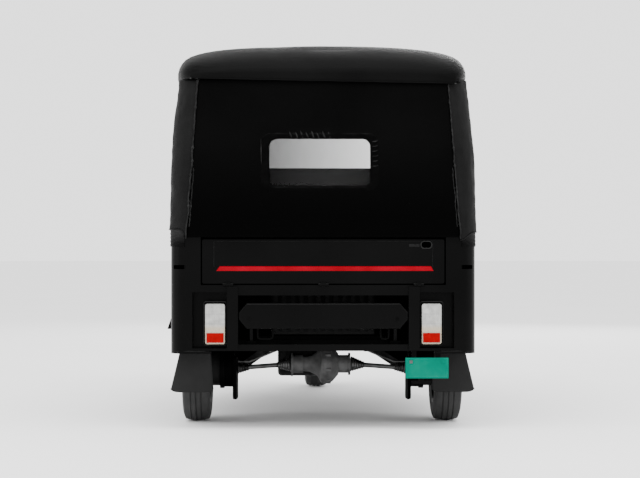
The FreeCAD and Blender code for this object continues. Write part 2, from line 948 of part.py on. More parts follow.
def front_spring():
    """The front spring and damper, between the link and the fork's arm."""
    foot = fork_pivot() + (V(-fork_side, front_axle_y, axle_z) - fork_pivot()) * (
        front_spring_ahead / fork_pivot_back)
    head = fork_arm_point(fork_shoulder_z - front_spring_head_drop)
    foot_pin = rod(V(-front_spring_x, foot.y, foot.z),
                   V(-fork_side + fork_eye_half, foot.y, foot.z), spring_pin_radius)
    head_pin = rod(V(-front_spring_x, head.y, head.z),
                   V(-fork_side - fork_tube_radius - seat_gap, head.y, head.z), spring_pin_radius)
    body = strut(V(-front_spring_x, foot.y, foot.z), V(-front_spring_x, head.y, head.z),
                 front_spring_radius, spring_wire_radius, front_spring_turns)
    return fused([body, foot_pin, head_pin])


def front_mudguard():
    """The arched guard over the front wheel, its edges turned down."""
    inner, outer = guard_radius - guard_sheet, guard_radius
    half, lip, shoulder = guard_half_width, guard_lip, guard_half_width - guard_shoulder_in
    points = [
        V(-half, 0, outer - lip), V(-shoulder, 0, outer - guard_shoulder_drop), V(0, 0, outer),
        V(shoulder, 0, outer - guard_shoulder_drop), V(half, 0, outer - lip),
    ]
    inner_points = [V(p.x * (half - guard_sheet) / half, 0, p.z - guard_sheet) for p in points]
    inner_points.reverse()
    profile = Part.Wire([
        smooth_edge(points), Part.LineSegment(points[-1], inner_points[0]).toShape(),
        smooth_edge(inner_points), Part.LineSegment(inner_points[-1], points[0]).toShape(),
    ])
    face = Part.Face(profile)
    centre = V(0, front_axle_y, axle_z)
    face.rotate(ORIGIN, RIGHT, guard_front_deg - FULL_TURN / 4)
    face.translate(centre)
    guard = face.revolve(centre, RIGHT, guard_rear_deg - guard_front_deg)
    arm = fork_arm_point(fork_shoulder_z - guard_boss_drop)
    boss = rod(V(guard_sheet - guard_half_width, arm.y, arm.z),
               V(-fork_side + fork_tube_radius + seat_gap, arm.y, arm.z), guard_boss_radius)
    turn = math.radians(guard_stay_deg)
    spoke = V(0, math.cos(turn), math.sin(turn))
    link_x = -fork_side + fork_eye_half + link_thick / 2
    stay_foot = V(link_x, front_axle_y, axle_z) + spoke * (link_end_radius + seat_gap)
    stay_head = V(guard_sheet / 2 - guard_half_width, front_axle_y, axle_z) + spoke * (
        guard_radius - guard_lip + guard_sheet)
    stay = rod(stay_foot, stay_head, guard_stay_radius)
    return fused([guard, boss, stay])


def handlebar():
    """The bar across the top of the column, with its round centre housing."""
    top = axis_point(handlebar_z)
    end = V(bar_half_width, top.y - bar_back, top.z + bar_rise)
    shoulder = V(bar_shoulder, top.y, top.z + bar_radius)
    points = [V(-end.x, end.y, end.z), V(-shoulder.x, shoulder.y, shoulder.z), shoulder, end]
    bar = bent_rod(points, bar_radius, bar_bend)
    along = (top - axis_point(crown_top_z)).normalize()
    seat = top + along * seat_gap
    pod = turned([(0, 0), (0, pod_end_radius), (pod_slope, pod_radius),
                  (pod_height - pod_slope, pod_radius), (pod_height, pod_end_radius),
                  (pod_height, 0)], seat, along)
    column_end = rod(axis_point(crown_top_z), seat, column_radius + seat_gap)
    return fused([bar, pod]).cut(column_end)


def handlebar_grips():
    """The two rubber grips on the ends of the bar."""
    top = axis_point(handlebar_z)
    end = V(bar_half_width, top.y - bar_back, top.z + bar_rise)
    shoulder = V(bar_shoulder, top.y, top.z + bar_radius)
    inward = (shoulder - end).normalize()
    grip = rod(end - inward * grip_cap, end + inward * grip_length, grip_radius)
    flange = rod(end + inward * (grip_length - grip_cap), end + inward * grip_length,
                 grip_radius + grip_cap)
    bore = rod(end - inward * seat_gap, end + inward * (grip_length + cut_over),
               bar_radius + seat_gap)
    return pair(fused([grip, flange]).cut(bore))


# Front of the body

def well_space(radius, bottom_z, top_z):
    """The round space that the steered front wheel turns in."""
    return rod(V(0, well_centre_y, bottom_z), V(0, well_centre_y, top_z), radius)


def apron_solid(inset):
    """The space inside the apron, its sides set in by inset."""
    return front_solid(apron_levels, apron_half_widths, apron_front_ys, apron_back_ys, inset)


def screen_solid(inset):
    """The space inside the windscreen frame, its sides set in by inset."""
    return front_solid(screen_levels, screen_half_widths, screen_front_ys, screen_back_ys, inset)


def front_apron():
    """The rounded nose, open over the front wheel and round the headlamps."""
    wall = front_wall(apron_levels, apron_half_widths, apron_front_ys, apron_back_ys, apron_wall)
    opening = well_space(well_radius + well_wall + seat_gap, 0, well_top_z + well_wall + seat_gap)
    lamp_hole = rod(V(headlamp_x, headlamp_back_y - cut_over, headlamp_z),
                    V(headlamp_x, headlamp_front_y + cut_over, headlamp_z),
                    headlamp_radius + seat_gap)
    return wall.cut([opening, lamp_hole, mirrored(lamp_hole)])


def wheel_well():
    """The wall and roof round the front wheel, with the tube that the column turns in."""
    outer = well_space(well_radius + well_wall, body_bottom_z, well_top_z + well_wall)
    inner = well_space(well_radius, 0, well_top_z)
    shell = outer.cut(inner).common(apron_solid(0))
    tube = rod(axis_point(well_top_z), axis_point(head_tube_top_z), column_radius + head_tube_wall)
    gusset_top = axis_point((well_top_z + head_tube_top_z) / 2)
    gusset_foot = axis_point(well_top_z)
    gusset = prism([V(-gusset_thick / 2, gusset_foot.y, well_top_z),
                    V(-gusset_thick / 2, gusset_top.y, gusset_top.z),
                    V(-gusset_thick / 2, gusset_foot.y + gusset_reach, well_top_z)],
                   RIGHT * gusset_thick)
    trim = block((-well_radius, well_radius), (0, half_length),
                 (well_top_z - well_radius, well_top_z))
    tower = tube.fuse(gusset).cut(trim)
    bore = rod(axis_point(crown_bottom_z), axis_point(handlebar_z), column_radius + seat_gap)
    return fused([shell, tower]).cut(bore)


def screen_outline(gap):
    """The corners of the windscreen opening, drawn in by a gap."""
    bottom_half = screen_half_widths[0] - glass_side_margin - gap
    top_half = screen_half_widths[-1] - glass_side_margin - gap
    return [
        V(-bottom_half, 0, glass_bottom_z + gap), V(bottom_half, 0, glass_bottom_z + gap),
        V(top_half, 0, glass_top_z - gap), V(-top_half, 0, glass_top_z - gap),
    ]


def windscreen_frame():
    """The frame round the windscreen, with its curved pillars and header."""
    wall = front_wall(screen_levels, screen_half_widths, screen_front_ys, screen_back_ys,
                      screen_wall)
    section = hood_points_at(hood_half_widths[0], 0, hood_top_zs[0], hood_cloth + seat_gap)
    closing = Part.LineSegment(section[-1], section[0]).toShape()
    under_hood = Part.Face(Part.Wire([smooth_edge(section), closing])).extrude(AHEAD * half_length)
    above = block((-body_half_width, body_half_width), (0, half_length),
                  (glass_top_z, screen_top_z + cut_over))
    wall = wall.cut(above.cut(under_hood))
    return wall.cut(rounded_prism(screen_outline(0), glass_corner, AHEAD * half_length))


def windscreen_glass():
    """The curved windscreen pane in its opening."""
    pane = front_wall(
        screen_levels, [w - glass_inset for w in screen_half_widths],
        [y - glass_inset for y in screen_front_ys], screen_back_ys, glass_wall)
    outline = rounded_prism(screen_outline(seat_gap), glass_corner - seat_gap,
                            AHEAD * half_length)
    return pane.common(outline)


def headlamp_pods():
    """The round headlamp housings set in the apron."""
    length = headlamp_front_y - headlamp_back_y
    seat = length - headlamp_lens_seat
    pod = turned([(0, 0), (0, headlamp_radius), (length - glass_wall, headlamp_radius),
                  (length, headlamp_radius - glass_wall), (length, headlamp_lens_radius),
                  (seat, headlamp_lens_radius), (headlamp_bowl_depth, headlamp_bowl_radius),
                  (headlamp_bowl_depth, 0)],
                 V(headlamp_x, headlamp_back_y, headlamp_z), AHEAD)
    return pair(pod)


def headlamp_lenses():
    """The domed headlamp glasses."""
    edge = headlamp_lens_radius - seat_gap
    rim_y = headlamp_front_y - glass_wall
    profile = [(0, 0), (0, edge), (glass_wall, edge)]
    for k in range(1, lens_steps + 1):
        turn = math.pi / 2 * k / lens_steps
        profile.append((glass_wall + headlamp_lens_dome * math.sin(turn), edge * math.cos(turn)))
    lens = turned(profile, V(headlamp_x, rim_y, headlamp_z), AHEAD)
    return pair(lens)


def front_indicators():
    """The turn indicators at the upper corners of the apron."""
    front_y = apron_front_ys[-1]
    corners = [V(indicator_x + a * indicator_half_width, apron_back_ys[-1],
                 indicator_z + b * indicator_half_height)
               for a, b in ((-1, -1), (1, -1), (1, 1), (-1, 1))]
    body = rounded_prism(corners, indicator_round, AHEAD * (front_y - apron_back_ys[-1]))
    return pair(body.cut(apron_solid(-seat_gap)))


def mirrors():
    """The door mirrors on their bent stalks."""
    foot = V(mirror_foot_x - screen_wall / 2, mirror_foot_y, mirror_foot_z)
    elbow = V(mirror_x - mirror_half_width, mirror_y, mirror_foot_z + mirror_stalk_rise)
    head = V(mirror_x, mirror_y, mirror_z - mirror_half_height / 2)
    stalk = bent_rod([foot, elbow, head], mirror_stalk_radius, mirror_stalk_bend)
    stalk = stalk.cut(screen_solid(-seat_gap))
    corners = [V(mirror_x + a * mirror_half_width, mirror_y - mirror_depth / 2,
                 mirror_z + b * mirror_half_height)
               for a, b in ((-1, -1), (1, -1), (1, 1), (-1, 1))]
    shell = rounded_prism(corners, mirror_corner, AHEAD * mirror_depth)
    return pair(fused([stalk, shell]))


def dashboard():
    """The shelf behind the apron, open at the back, with the dial housing on top."""
    outer = block((-dash_half_width, dash_half_width), (dash_back_y, dash_front_y),
                  (dash_bottom_z, dash_top_z))
    pocket = block((dash_wall - dash_half_width, dash_half_width - dash_wall),
                   (dash_back_y - cut_over, dash_front_y - dash_wall),
                   (dash_bottom_z + dash_wall, dash_top_z - dash_wall))
    inside = apron_solid(apron_wall + seat_gap)
    shelf = outer.cut(pocket).common(inside)
    lamp_backs = [rod(V(x, headlamp_back_y - moving_gap, headlamp_z),
                      V(x, dash_front_y + cut_over, headlamp_z), headlamp_radius + moving_gap)
                  for x in (-headlamp_x, headlamp_x)]
    shelf = shelf.cut(lamp_backs)
    pod_profile = [V(-dial_pod_half_width, dial_pod_back_y, dash_top_z - dash_wall / 2),
                   V(-dial_pod_half_width, dial_pod_front_y, dash_top_z - dash_wall / 2),
                   V(-dial_pod_half_width, dial_pod_front_y, dial_pod_top_z - dash_wall),
                   V(-dial_pod_half_width, dial_pod_back_y, dial_pod_top_z)]
    pod = prism(pod_profile, RIGHT * dial_pod_half_width * 2)
    return fused([shelf, pod])


# Floor and frame

def side_points(inset):
    """The right-hand side line of the cab in plan, from back to front."""
    return [
        V(body_half_width - inset, sill_back_y, 0),
        V(sill_middle_half_width - inset, sill_middle_y, 0),
        V(apron_half_widths[0] - inset, sill_front_y, 0),
    ]


def cab_plan(inset, bottom_z, top_z):
    """The space between the sills, drawn in by an inset."""
    right = side_points(inset)
    left = [V(-p.x, p.y, p.z) for p in reversed(right)]
    wire = Part.Wire([
        smooth_edge(right), Part.LineSegment(right[-1], left[0]).toShape(),
        smooth_edge(left), Part.LineSegment(left[-1], right[0]).toShape(),
    ])
    slab = Part.Face(wire).extrude(UP * (top_z - bottom_z))
    slab.translate(UP * bottom_z)
    return slab


def side_sills():
    """The curved sills under both door openings."""
    outer = cab_plan(0, body_bottom_z, sill_top_z)
    inner = cab_plan(sill_wall, body_bottom_z - cut_over, sill_top_z + cut_over)
    return outer.cut(inner)


def floor_pan():
    """The cab floor between the sills, reaching into the apron beside the wheel well."""
    bottom = floor_z - floor_sheet
    middle = cab_plan(sill_wall + seat_gap, bottom, floor_z)
    slab = block((-body_half_width, body_half_width), (sill_front_y - sill_wall, half_length),
                 (bottom, floor_z))
    front = slab.common(apron_solid(apron_wall + seat_gap))
    link_half = apron_half_widths[0] - floor_link_inset
    link = block((-link_half, link_half),
                 (sill_front_y - floor_link_reach, sill_front_y + floor_link_reach),
                 (bottom, floor_z))
    opening = well_space(well_radius + well_wall + seat_gap, 0, well_top_z)
    return fused([middle, link, front]).cut(opening)


def arm_ears():
    """The ears under the frame that the trailing arms turn on, with their pins."""
    pieces = []
    back_y = pivot_cross_y - cross_width / 2
    inner_x, outer_x = arm_pivot_inner_x - seat_gap, arm_pivot_outer_x + seat_gap
    for x in (inner_x - arm_ear_thick, outer_x):
        pieces.append(block((x, x + arm_ear_thick), (back_y, arm_pivot_y + arm_pivot_radius),
                            (arm_pivot_z - arm_pivot_radius / 2, rail_top_z - rail_height / 2)))
    pieces.append(rod(V(inner_x - arm_ear_thick / 2, arm_pivot_y, arm_pivot_z),
                      V(outer_x + arm_ear_thick / 2, arm_pivot_y, arm_pivot_z), arm_pin_radius))
    return pieces


def underframe():
    """The two long rails and their cross members, with the tow eye and the arms' ears."""
    bottom = rail_bottom_z
    half_rail = rail_width / 2
    pieces = [block((x - half_rail, x + half_rail), (rail_back_y, rail_front_y),
                    (bottom, rail_top_z)) for x in (-rail_x, rail_x)]
    for y in (rear_cross_y, pivot_cross_y, front_cross_y):
        half = side_inner_x if y < sill_back_y else body_half_width
        member = block((-half, half), (y - cross_width / 2, y + cross_width / 2),
                       (bottom, rail_top_z))
        if y > sill_back_y:
            member = member.common(cab_plan(sill_wall + seat_gap, bottom, rail_top_z))
        pieces.append(member)
    outrigger = block((rail_x, body_half_width),
                      (outrigger_y - cross_width / 2, outrigger_y + cross_width / 2),
                      (bottom, rail_top_z))
    outrigger = outrigger.common(cab_plan(sill_wall + seat_gap, bottom, rail_top_z))
    pieces += [outrigger, mirrored(outrigger)]
    mount_y = rear_axle_y - transaxle_cross_back
    pieces.append(block((-rail_x, rail_x),
                        (mount_y - transaxle_cross_width / 2, mount_y + transaxle_cross_width / 2),
                        (bottom, rail_top_z)))
    ears = arm_ears()
    pieces += ears + [mirrored(e) for e in ears]
    eye_y = rear_cross_y - cross_width / 2 - tow_eye_outer / 2
    eye_low = V(tow_eye_x - tow_eye_thick / 2, eye_y, tow_eye_z)
    eye_neck = block((eye_low.x, eye_low.x + tow_eye_thick),
                     (eye_y - tow_eye_outer, rear_cross_y), (tow_eye_z, rail_top_z - rail_height / 2))
    pieces += [rod(eye_low, eye_low + RIGHT * tow_eye_thick, tow_eye_outer), eye_neck]
    frame = fused(pieces)
    return frame.cut(rod(eye_low - RIGHT * cut_over,
                         eye_low + RIGHT * (tow_eye_thick + cut_over), tow_eye_radius))


# Battery, motor and suspension

def battery_pack():
    """The battery box between the rails, with a groove under its lid."""
    box = block((-battery_half_width, battery_half_width), (battery_back_y, battery_front_y),
                (battery_bottom_z, rail_top_z))
    levels = (rail_top_z - battery_lid - battery_groove, rail_top_z - battery_lid)
    band = block((-battery_half_width - cut_over, battery_half_width + cut_over),
                 (battery_back_y - cut_over, battery_front_y + cut_over), levels)
    edge = battery_half_width - battery_groove
    keep = block((-edge, edge), (battery_back_y + battery_groove, battery_front_y - battery_groove),
                 levels)
    return box.cut(band.cut(keep))


def controller_box():
    """The motor controller under the rear deck, with cooling ribs on its back."""
    top = deck_top_z - deck_sheet - seat_gap
    bottom = top - controller_height
    rib_front_y = controller_back_y + controller_rib_depth
    box = block((-controller_half_width, controller_half_width),
                (rib_front_y, controller_back_y + controller_depth), (bottom, top))
    ribs = []
    pitch = controller_half_width * 2 / controller_rib_count
    for k in range(controller_rib_count):
        x = -controller_half_width + pitch * (k + 1 / 2)
        ribs.append(block((x - controller_rib_width / 2, x + controller_rib_width / 2),
                          (controller_back_y, rib_front_y),
                          (bottom + controller_rib_margin, top - controller_rib_margin)))
    return fused([box] + ribs)


def motor():
    """The ribbed motor, lying across the vehicle."""
    right_x = case_left_x - seat_gap
    length = right_x - motor_left_x
    body_length = length - motor_cap_width * 2
    profile = [(0, 0), (0, motor_core_radius), (motor_cap_slope, motor_radius),
               (motor_cap_width, motor_radius)]
    pitch = body_length / motor_rib_count
    for k in range(motor_rib_count):
        start = motor_cap_width + pitch * k
        profile += [(start, motor_core_radius), (start + pitch / 2, motor_core_radius),
                    (start + pitch / 2, motor_radius), (start + pitch, motor_radius)]
    profile += [(length - motor_cap_width, motor_radius), (length, motor_radius), (length, 0)]
    return turned(profile, V(motor_left_x, rear_axle_y + motor_ahead, motor_z), RIGHT)


def transaxle():
    """The reduction gear casing with its outputs and its mounting pad."""
    motor_at = V(case_left_x, rear_axle_y + motor_ahead, motor_z)
    output_at = V(case_left_x, rear_axle_y, output_z)
    width = case_right_x - case_left_x
    lobes = [rod(motor_at, motor_at + RIGHT * width, motor_radius),
             rod(output_at, output_at + RIGHT * width, case_radius)]
    side = (motor_at - output_at).normalize().cross(RIGHT)
    web = prism([motor_at + side * motor_radius, output_at + side * case_radius,
                 output_at - side * case_radius, motor_at - side * motor_radius], RIGHT * width)
    seam_x = case_left_x + (width - case_seam_width) / 2
    seam_at = V(seam_x, rear_axle_y, output_z)
    seam = rod(seam_at, seam_at + RIGHT * case_seam_width, case_radius + case_seam_proud)
    nose = rod(V(nose_left_x, rear_axle_y, output_z), output_at, nose_radius)
    outlet = rod(V(case_right_x, rear_axle_y, output_z),
                 V(case_right_x + output_length, rear_axle_y, output_z), output_radius)
    flanges = [rod(V(x, rear_axle_y, output_z), V(x + output_flange_width, rear_axle_y, output_z),
                   output_flange_radius)
               for x in (nose_left_x - output_flange_width, case_right_x + output_length)]
    pad_x = (case_left_x + case_right_x) / 2
    pad = block((pad_x - mount_pad_half_width, pad_x + mount_pad_half_width),
                (rear_axle_y - mount_pad_half_depth, rear_axle_y + mount_pad_half_depth),
                (output_z, rail_bottom_z - seat_gap))
    whole = fused(lobes + [web, nose, outlet, pad] + flanges)
    above = block((case_left_x, case_right_x), (rear_face_y, 0), (rail_bottom_z - seat_gap, waist_z))
    return fused([whole, seam.cut(above)])


def bellows(start, end, start_radius, end_radius):
    """A ribbed rubber boot between two points, as one turned solid."""
    length = (end - start).Length
    pitch = length / boot_rings
    profile = [(0, 0), (0, start_radius - boot_ring_depth)]
    for k in range(boot_rings):
        radius = start_radius + (end_radius - start_radius) * k / (boot_rings - 1)
        profile += [(pitch * (k + boot_crest_share), radius),
                    (pitch * (k + boot_valley_share), radius - boot_ring_depth)]
    profile += [(length, end_radius - boot_ring_depth), (length, 0)]
    return turned(profile, start, end - start)


def drive_shafts():
    """The two half shafts with a boot at each end."""
    shafts = []
    left_x = nose_left_x - output_flange_width - seat_gap
    right_x = case_right_x + output_length + output_flange_width + seat_gap
    for side, inner_x in ((-1, left_x), (1, right_x)):
        start = V(inner_x, rear_axle_y, output_z)
        end = V(side * (carrier_inner_x - seat_gap), rear_axle_y, shaft_outer_z)
        along = (end - start).normalize()
        bar = rod(start, end, shaft_radius)
        inner_boot = bellows(start, start + along * boot_length, boot_big_radius,
                             boot_small_radius)
        outer_boot = bellows(end, end - along * boot_length, boot_outer_radius,
                             boot_small_radius)
        trim = block((end.x, side * carrier_outer_x), (rear_face_y, 0), (0, waist_z))
        trim_in = block((inner_x, inner_x - side * boot_big_radius), (rear_face_y, 0), (0, waist_z))
        shafts.append(fused([bar, inner_boot, outer_boot]).cut([trim, trim_in]))
    return Part.makeCompound(shafts)


def trailing_arms():
    """The rear suspension arms with their hub carriers, stub axles and spring seats."""
    slope = (arm_pivot_z - axle_z) / (arm_pivot_y - rear_axle_y)

    def arm_corner(x, y):
        return V(x, y, axle_z + slope * (y - rear_axle_y) - arm_thick / 2)

    tail_y = rear_axle_y + arm_tail_ahead
    corners = [
        arm_corner(arm_pivot_inner_x + arm_pivot_radius, arm_pivot_y),
        arm_corner(arm_pivot_outer_x, arm_pivot_y),
        arm_corner(arm_pivot_outer_x, pivot_cross_y - cross_width / 2 - moving_gap),
        arm_corner(carrier_outer_x, rear_axle_y + arm_shoulder_ahead),
        arm_corner(carrier_outer_x, tail_y),
        arm_corner(carrier_inner_x - arm_thick, tail_y),
    ]
    beam = prism(corners, UP * arm_thick)
    tube = rod(V(arm_pivot_inner_x, arm_pivot_y, arm_pivot_z),
               V(arm_pivot_outer_x, arm_pivot_y, arm_pivot_z), arm_pivot_radius)
    carrier = rod(V(carrier_inner_x, rear_axle_y, axle_z), V(carrier_outer_x, rear_axle_y, axle_z),
                  carrier_radius)
    stub = rod(V(carrier_inner_x, rear_axle_y, axle_z),
               V(rear_wheel_x + hub_half_length / 2, rear_axle_y, axle_z), rear_stub_radius)
    neck = block((carrier_inner_x + spring_neck, carrier_outer_x),
                 (rear_axle_y - spring_radius, rear_axle_y + spring_radius),
                 (axle_z, spring_bottom_z - seat_gap))
    seat = rod(V(spring_x, rear_axle_y, spring_bottom_z - seat_gap - spring_seat_thick),
               V(spring_x, rear_axle_y, spring_bottom_z - seat_gap), spring_radius)
    blade_y = rear_axle_y - blade_back
    blade = rounded_prism(
        [V(carrier_inner_x - blade_thick, blade_y + a * blade_half_length, axle_z + rise)
         for a, rise in ((-1, -blade_drop), (1, -blade_drop), (1, blade_rise), (-1, blade_rise))],
        blade_tip_radius, RIGHT * blade_thick)
    pin = rod(V(arm_pivot_inner_x - cut_over, arm_pivot_y, arm_pivot_z),
              V(arm_pivot_outer_x + cut_over, arm_pivot_y, arm_pivot_z), arm_pin_radius + seat_gap)
    return pair(fused([beam, tube, carrier, stub, neck, seat, blade]).cut(pin))


def rear_springs():
    """The rear springs and dampers, standing on the hub carriers under the arches."""
    tip_z = axle_z + math.sqrt(tub_radius ** 2 - damper_radius ** 2) - seat_gap
    head_z = tip_z - damper_radius
    spring = strut(V(spring_x, rear_axle_y, spring_bottom_z), V(spring_x, rear_axle_y, head_z),
                   spring_radius, spring_wire_radius, spring_turns)
    tip = rod(V(spring_x, rear_axle_y, head_z), V(spring_x, rear_axle_y, tip_z), damper_radius)
    return pair(fused([spring, tip]))


def brake_pipes():
    """The brake pipes from the rear hubs up to the frame."""
    y = rear_axle_y - pipe_back
    points = [V(carrier_inner_x - seat_gap, y, pipe_z), V(pipe_outer_x, y, pipe_z),
              V(pipe_inner_x, y, pipe_top_z), V(pipe_inner_x, y, rail_bottom_z - seat_gap)]
    return pair(bent_rod(points, pipe_radius, pipe_bend))


# Rear body

def quarter_edge_y(z):
    """Where the leaning front edge of the quarter panel lies at a height."""
    share = (z - body_bottom_z) / (waist_z - body_bottom_z)
    return quarter_front_bottom_y + (quarter_front_top_y - quarter_front_bottom_y) * share


def quarter_panels():
    """The side panels over the rear wheels, with rolled arch lips."""
    inner_x = body_half_width - panel_wall
    back_y = rear_face_y + panel_wrap + seat_gap
    corners = [V(inner_x, back_y, body_bottom_z), V(inner_x, quarter_front_bottom_y, body_bottom_z),
               V(inner_x, quarter_front_top_y, waist_z), V(inner_x, back_y, waist_z)]
    panel = prism(corners, RIGHT * panel_wall)
    lip_x = body_half_width + arch_lip_proud
    lip = rod(V(inner_x, rear_axle_y, axle_z), V(lip_x, rear_axle_y, axle_z),
              arch_radius + arch_lip)
    lip = lip.cut(block((0, lip_x + cut_over), (rear_face_y, 0), (-waist_z, body_bottom_z)))
    arch = rod(V(inner_x - cut_over, rear_axle_y, axle_z), V(lip_x + cut_over, rear_axle_y, axle_z),
               arch_radius)
    return pair(fused([panel, lip]).cut(arch))


def wheel_arches():
    """The inner arches over the rear wheels, closed on the inside above the suspension."""
    outer_r = tub_radius + tub_wall
    outer = rod(V(tub_inner_x, rear_axle_y, axle_z), V(side_inner_x, rear_axle_y, axle_z), outer_r)
    space = rod(V(tub_inner_x + tub_wall, rear_axle_y, axle_z),
                V(body_half_width, rear_axle_y, axle_z), tub_radius)
    below = block((0, body_half_width), (rear_axle_y - outer_r, rear_axle_y + outer_r),
                  (-outer_r, rail_top_z + seat_gap))
    return pair(outer.cut([space, below]))


def lamp_bay_box(gap):
    """The outside of the box behind one tail lamp, grown by a gap."""
    grown = lamp_bay_sheet + gap
    face_y = rear_face_y + panel_wall
    return block((lamp_bay_inner_x - grown, lamp_bay_outer_x + grown),
                 (face_y - grown, face_y + lamp_bay_depth + grown),
                 (lamp_bay_bottom_z - grown, lamp_bay_top_z + grown))


def lamp_bay_hollow():
    """The space for one tail lamp, open at the back."""
    return block((lamp_bay_inner_x, lamp_bay_outer_x),
                 (rear_face_y - cut_over, rear_face_y + panel_wall + lamp_bay_depth),
                 (lamp_bay_bottom_z, lamp_bay_top_z))


def hinge_ears():
    """The fixed hinge knuckles under the tailgate, with their pins."""
    axis_y = rear_face_y - hinge_out
    pieces = []
    for x in hinge_xs:
        low, high = x - hinge_leaf_length / 2, x + hinge_leaf_length / 2
        for start in (low, high - hinge_ear_length):
            pieces.append(rod(V(start, axis_y, hinge_z), V(start + hinge_ear_length, axis_y, hinge_z),
                              hinge_radius))
            pieces.append(block((start, start + hinge_ear_length), (axis_y, rear_face_y + hinge_web),
                                (hinge_z - hinge_radius, aperture_bottom_z)))
        pieces.append(rod(V(low, axis_y, hinge_z), V(high, axis_y, hinge_z), hinge_pin_radius))
    return pieces


def rear_panel():
    """The rear body panel with its openings, lamp bays, posts and hinge ears."""
    def corner_box(inset, bottom, top):
        half = body_half_width - inset
        back = rear_face_y + inset
        solid = block((-half, half), (back, rear_face_y + panel_wrap + inset), (bottom, top))
        rear_edges = [e for e in solid.Edges
                      if abs(e.Vertexes[0].X - e.Vertexes[-1].X) < seat_gap
                      and abs(e.Vertexes[0].Y - back) < seat_gap
                      and abs(e.Vertexes[-1].Y - back) < seat_gap]
        return solid.makeFillet(panel_corner - inset, rear_edges)

    shell = corner_box(0, body_bottom_z, waist_z)
    shell = shell.cut(corner_box(panel_wall, body_bottom_z - cut_over, waist_z + cut_over))
    bay, hollow = lamp_bay_box(0), lamp_bay_hollow()
    posts = [block((x - post_half_width, x + post_half_width),
                   (rear_face_y - post_proud, rear_face_y + panel_wall),
                   (post_bottom_z, post_top_z)) for x in (-post_x, post_x)]
    whole = fused([shell, bay, mirrored(bay)] + posts)
    depth = (rear_face_y - cut_over, rear_face_y + panel_wall + cut_over)
    gate = block((-aperture_half_width, aperture_half_width), depth,
                 (aperture_bottom_z, aperture_top_z))
    middle = block((-middle_bay_half_width, middle_bay_half_width), depth,
                   (middle_bay_bottom_z, middle_bay_top_z))
    slot = block((body_half_width - slot_inner_inset, body_half_width - slot_outer_inset),
                 (rear_face_y, rear_face_y + slot_depth),
                 (slot_bottom_z, slot_bottom_z + slot_height))
    whole = whole.cut([gate, middle, hollow, mirrored(hollow), slot, mirrored(slot)])
    return fused([whole] + hinge_ears())


def tailgate():
    """The bottom-hinged tailgate with its raised field and hinge knuckles."""
    half = aperture_half_width - tailgate_side_gap
    corners = [V(-half, rear_face_y, tailgate_bottom_z), V(half, rear_face_y, tailgate_bottom_z),
               V(half, rear_face_y, tailgate_top_z), V(-half, rear_face_y, tailgate_top_z)]
    slab = rounded_prism(corners, tailgate_corner, AHEAD * tailgate_wall)
    field_half = half - tailgate_field_side
    field = block((-field_half, field_half),
                  (rear_face_y - tailgate_field_proud, rear_face_y + tailgate_wall / 2),
                  (tailgate_bottom_z + tailgate_field_rise, tailgate_top_z - tailgate_corner))
    axis_y = rear_face_y - hinge_out
    reach = hinge_leaf_length / 2 - hinge_ear_length - seat_gap
    knuckles = []
    for x in hinge_xs:
        barrel = rod(V(x - reach, axis_y, hinge_z), V(x + reach, axis_y, hinge_z), hinge_radius)
        web = block((x - reach, x + reach), (axis_y, rear_face_y + hinge_web),
                    (tailgate_bottom_z, hinge_z + hinge_radius + hinge_web))
        strap = block((x - reach, x + reach), (axis_y - hinge_radius, axis_y),
                      (hinge_z, hinge_z + hinge_radius))
        pin = rod(V(x - hinge_leaf_length, axis_y, hinge_z),
                  V(x + hinge_leaf_length, axis_y, hinge_z), hinge_pin_radius + seat_gap)
        knuckles.append(fused([barrel, web, strap]).cut(pin))
    recess = block((latch_x - latch_half_width, latch_x + latch_half_width),
                   (rear_face_y - cut_over, rear_face_y + latch_recess),
                   (latch_z - latch_half_height, latch_z + latch_half_height))
    return fused([slab, field] + knuckles).cut(recess)


def tailgate_latch():
    """The lift handle in the tailgate's recess."""
    plate = block((latch_x - latch_half_width + seat_gap, latch_x + latch_half_width - seat_gap),
                  (rear_face_y + latch_recess - seat_gap - latch_thick,
                   rear_face_y + latch_recess - seat_gap),
                  (latch_z - latch_half_height + seat_gap, latch_z + latch_half_height - seat_gap))
    grip = block((latch_x - latch_half_width / 2, latch_x + latch_half_width / 2),
                 (rear_face_y - tailgate_field_proud, rear_face_y + latch_recess - latch_thick),
                 (latch_z - latch_half_height / 2, latch_z + latch_thick - latch_half_height / 2))
    return fused([plate, grip])


def rear_bumper():
    """The bumper bar with pointed ends, standing on stays from the rails."""
    half, point = bumper_half_width, bumper_point
    face_y = bumper_face_y + bumper_bolt_head
    middle_z = (bumper_bottom_z + bumper_top_z) / 2
    outline = [
        V(-half, face_y, middle_z + point / 2), V(point - half, face_y, bumper_top_z),
        V(half - point, face_y, bumper_top_z), V(half, face_y, middle_z + point / 2),
        V(half, face_y, middle_z - point / 2), V(half - point, face_y, bumper_bottom_z),
        V(point - half, face_y, bumper_bottom_z), V(-half, face_y, middle_z - point / 2),
    ]
    bar = prism(outline, AHEAD * bumper_depth)
    front_edges = [e for e in bar.Edges
                   if all(abs(v.Y - face_y) < seat_gap for v in e.Vertexes)]
    bar = bar.makeFillet(bumper_corner, front_edges)
    back_y = face_y + bumper_depth
    foot_z = rail_top_z + seat_gap
    pieces = [bar]
    for x in (-rail_x, rail_x):
        left_x = x - bumper_stay_thick / 2
        stay = prism([
            V(left_x, back_y - cut_over, bumper_bottom_z + bumper_point / 2),
            V(left_x, back_y - cut_over, bumper_top_z - bumper_point),
            V(left_x, back_y + bumper_wall, bumper_top_z - bumper_point),
            V(left_x, rail_back_y + bumper_stay_foot, foot_z),
            V(left_x, rail_back_y, foot_z),
        ], RIGHT * bumper_stay_thick)
        pieces.append(stay)
    return fused(pieces)


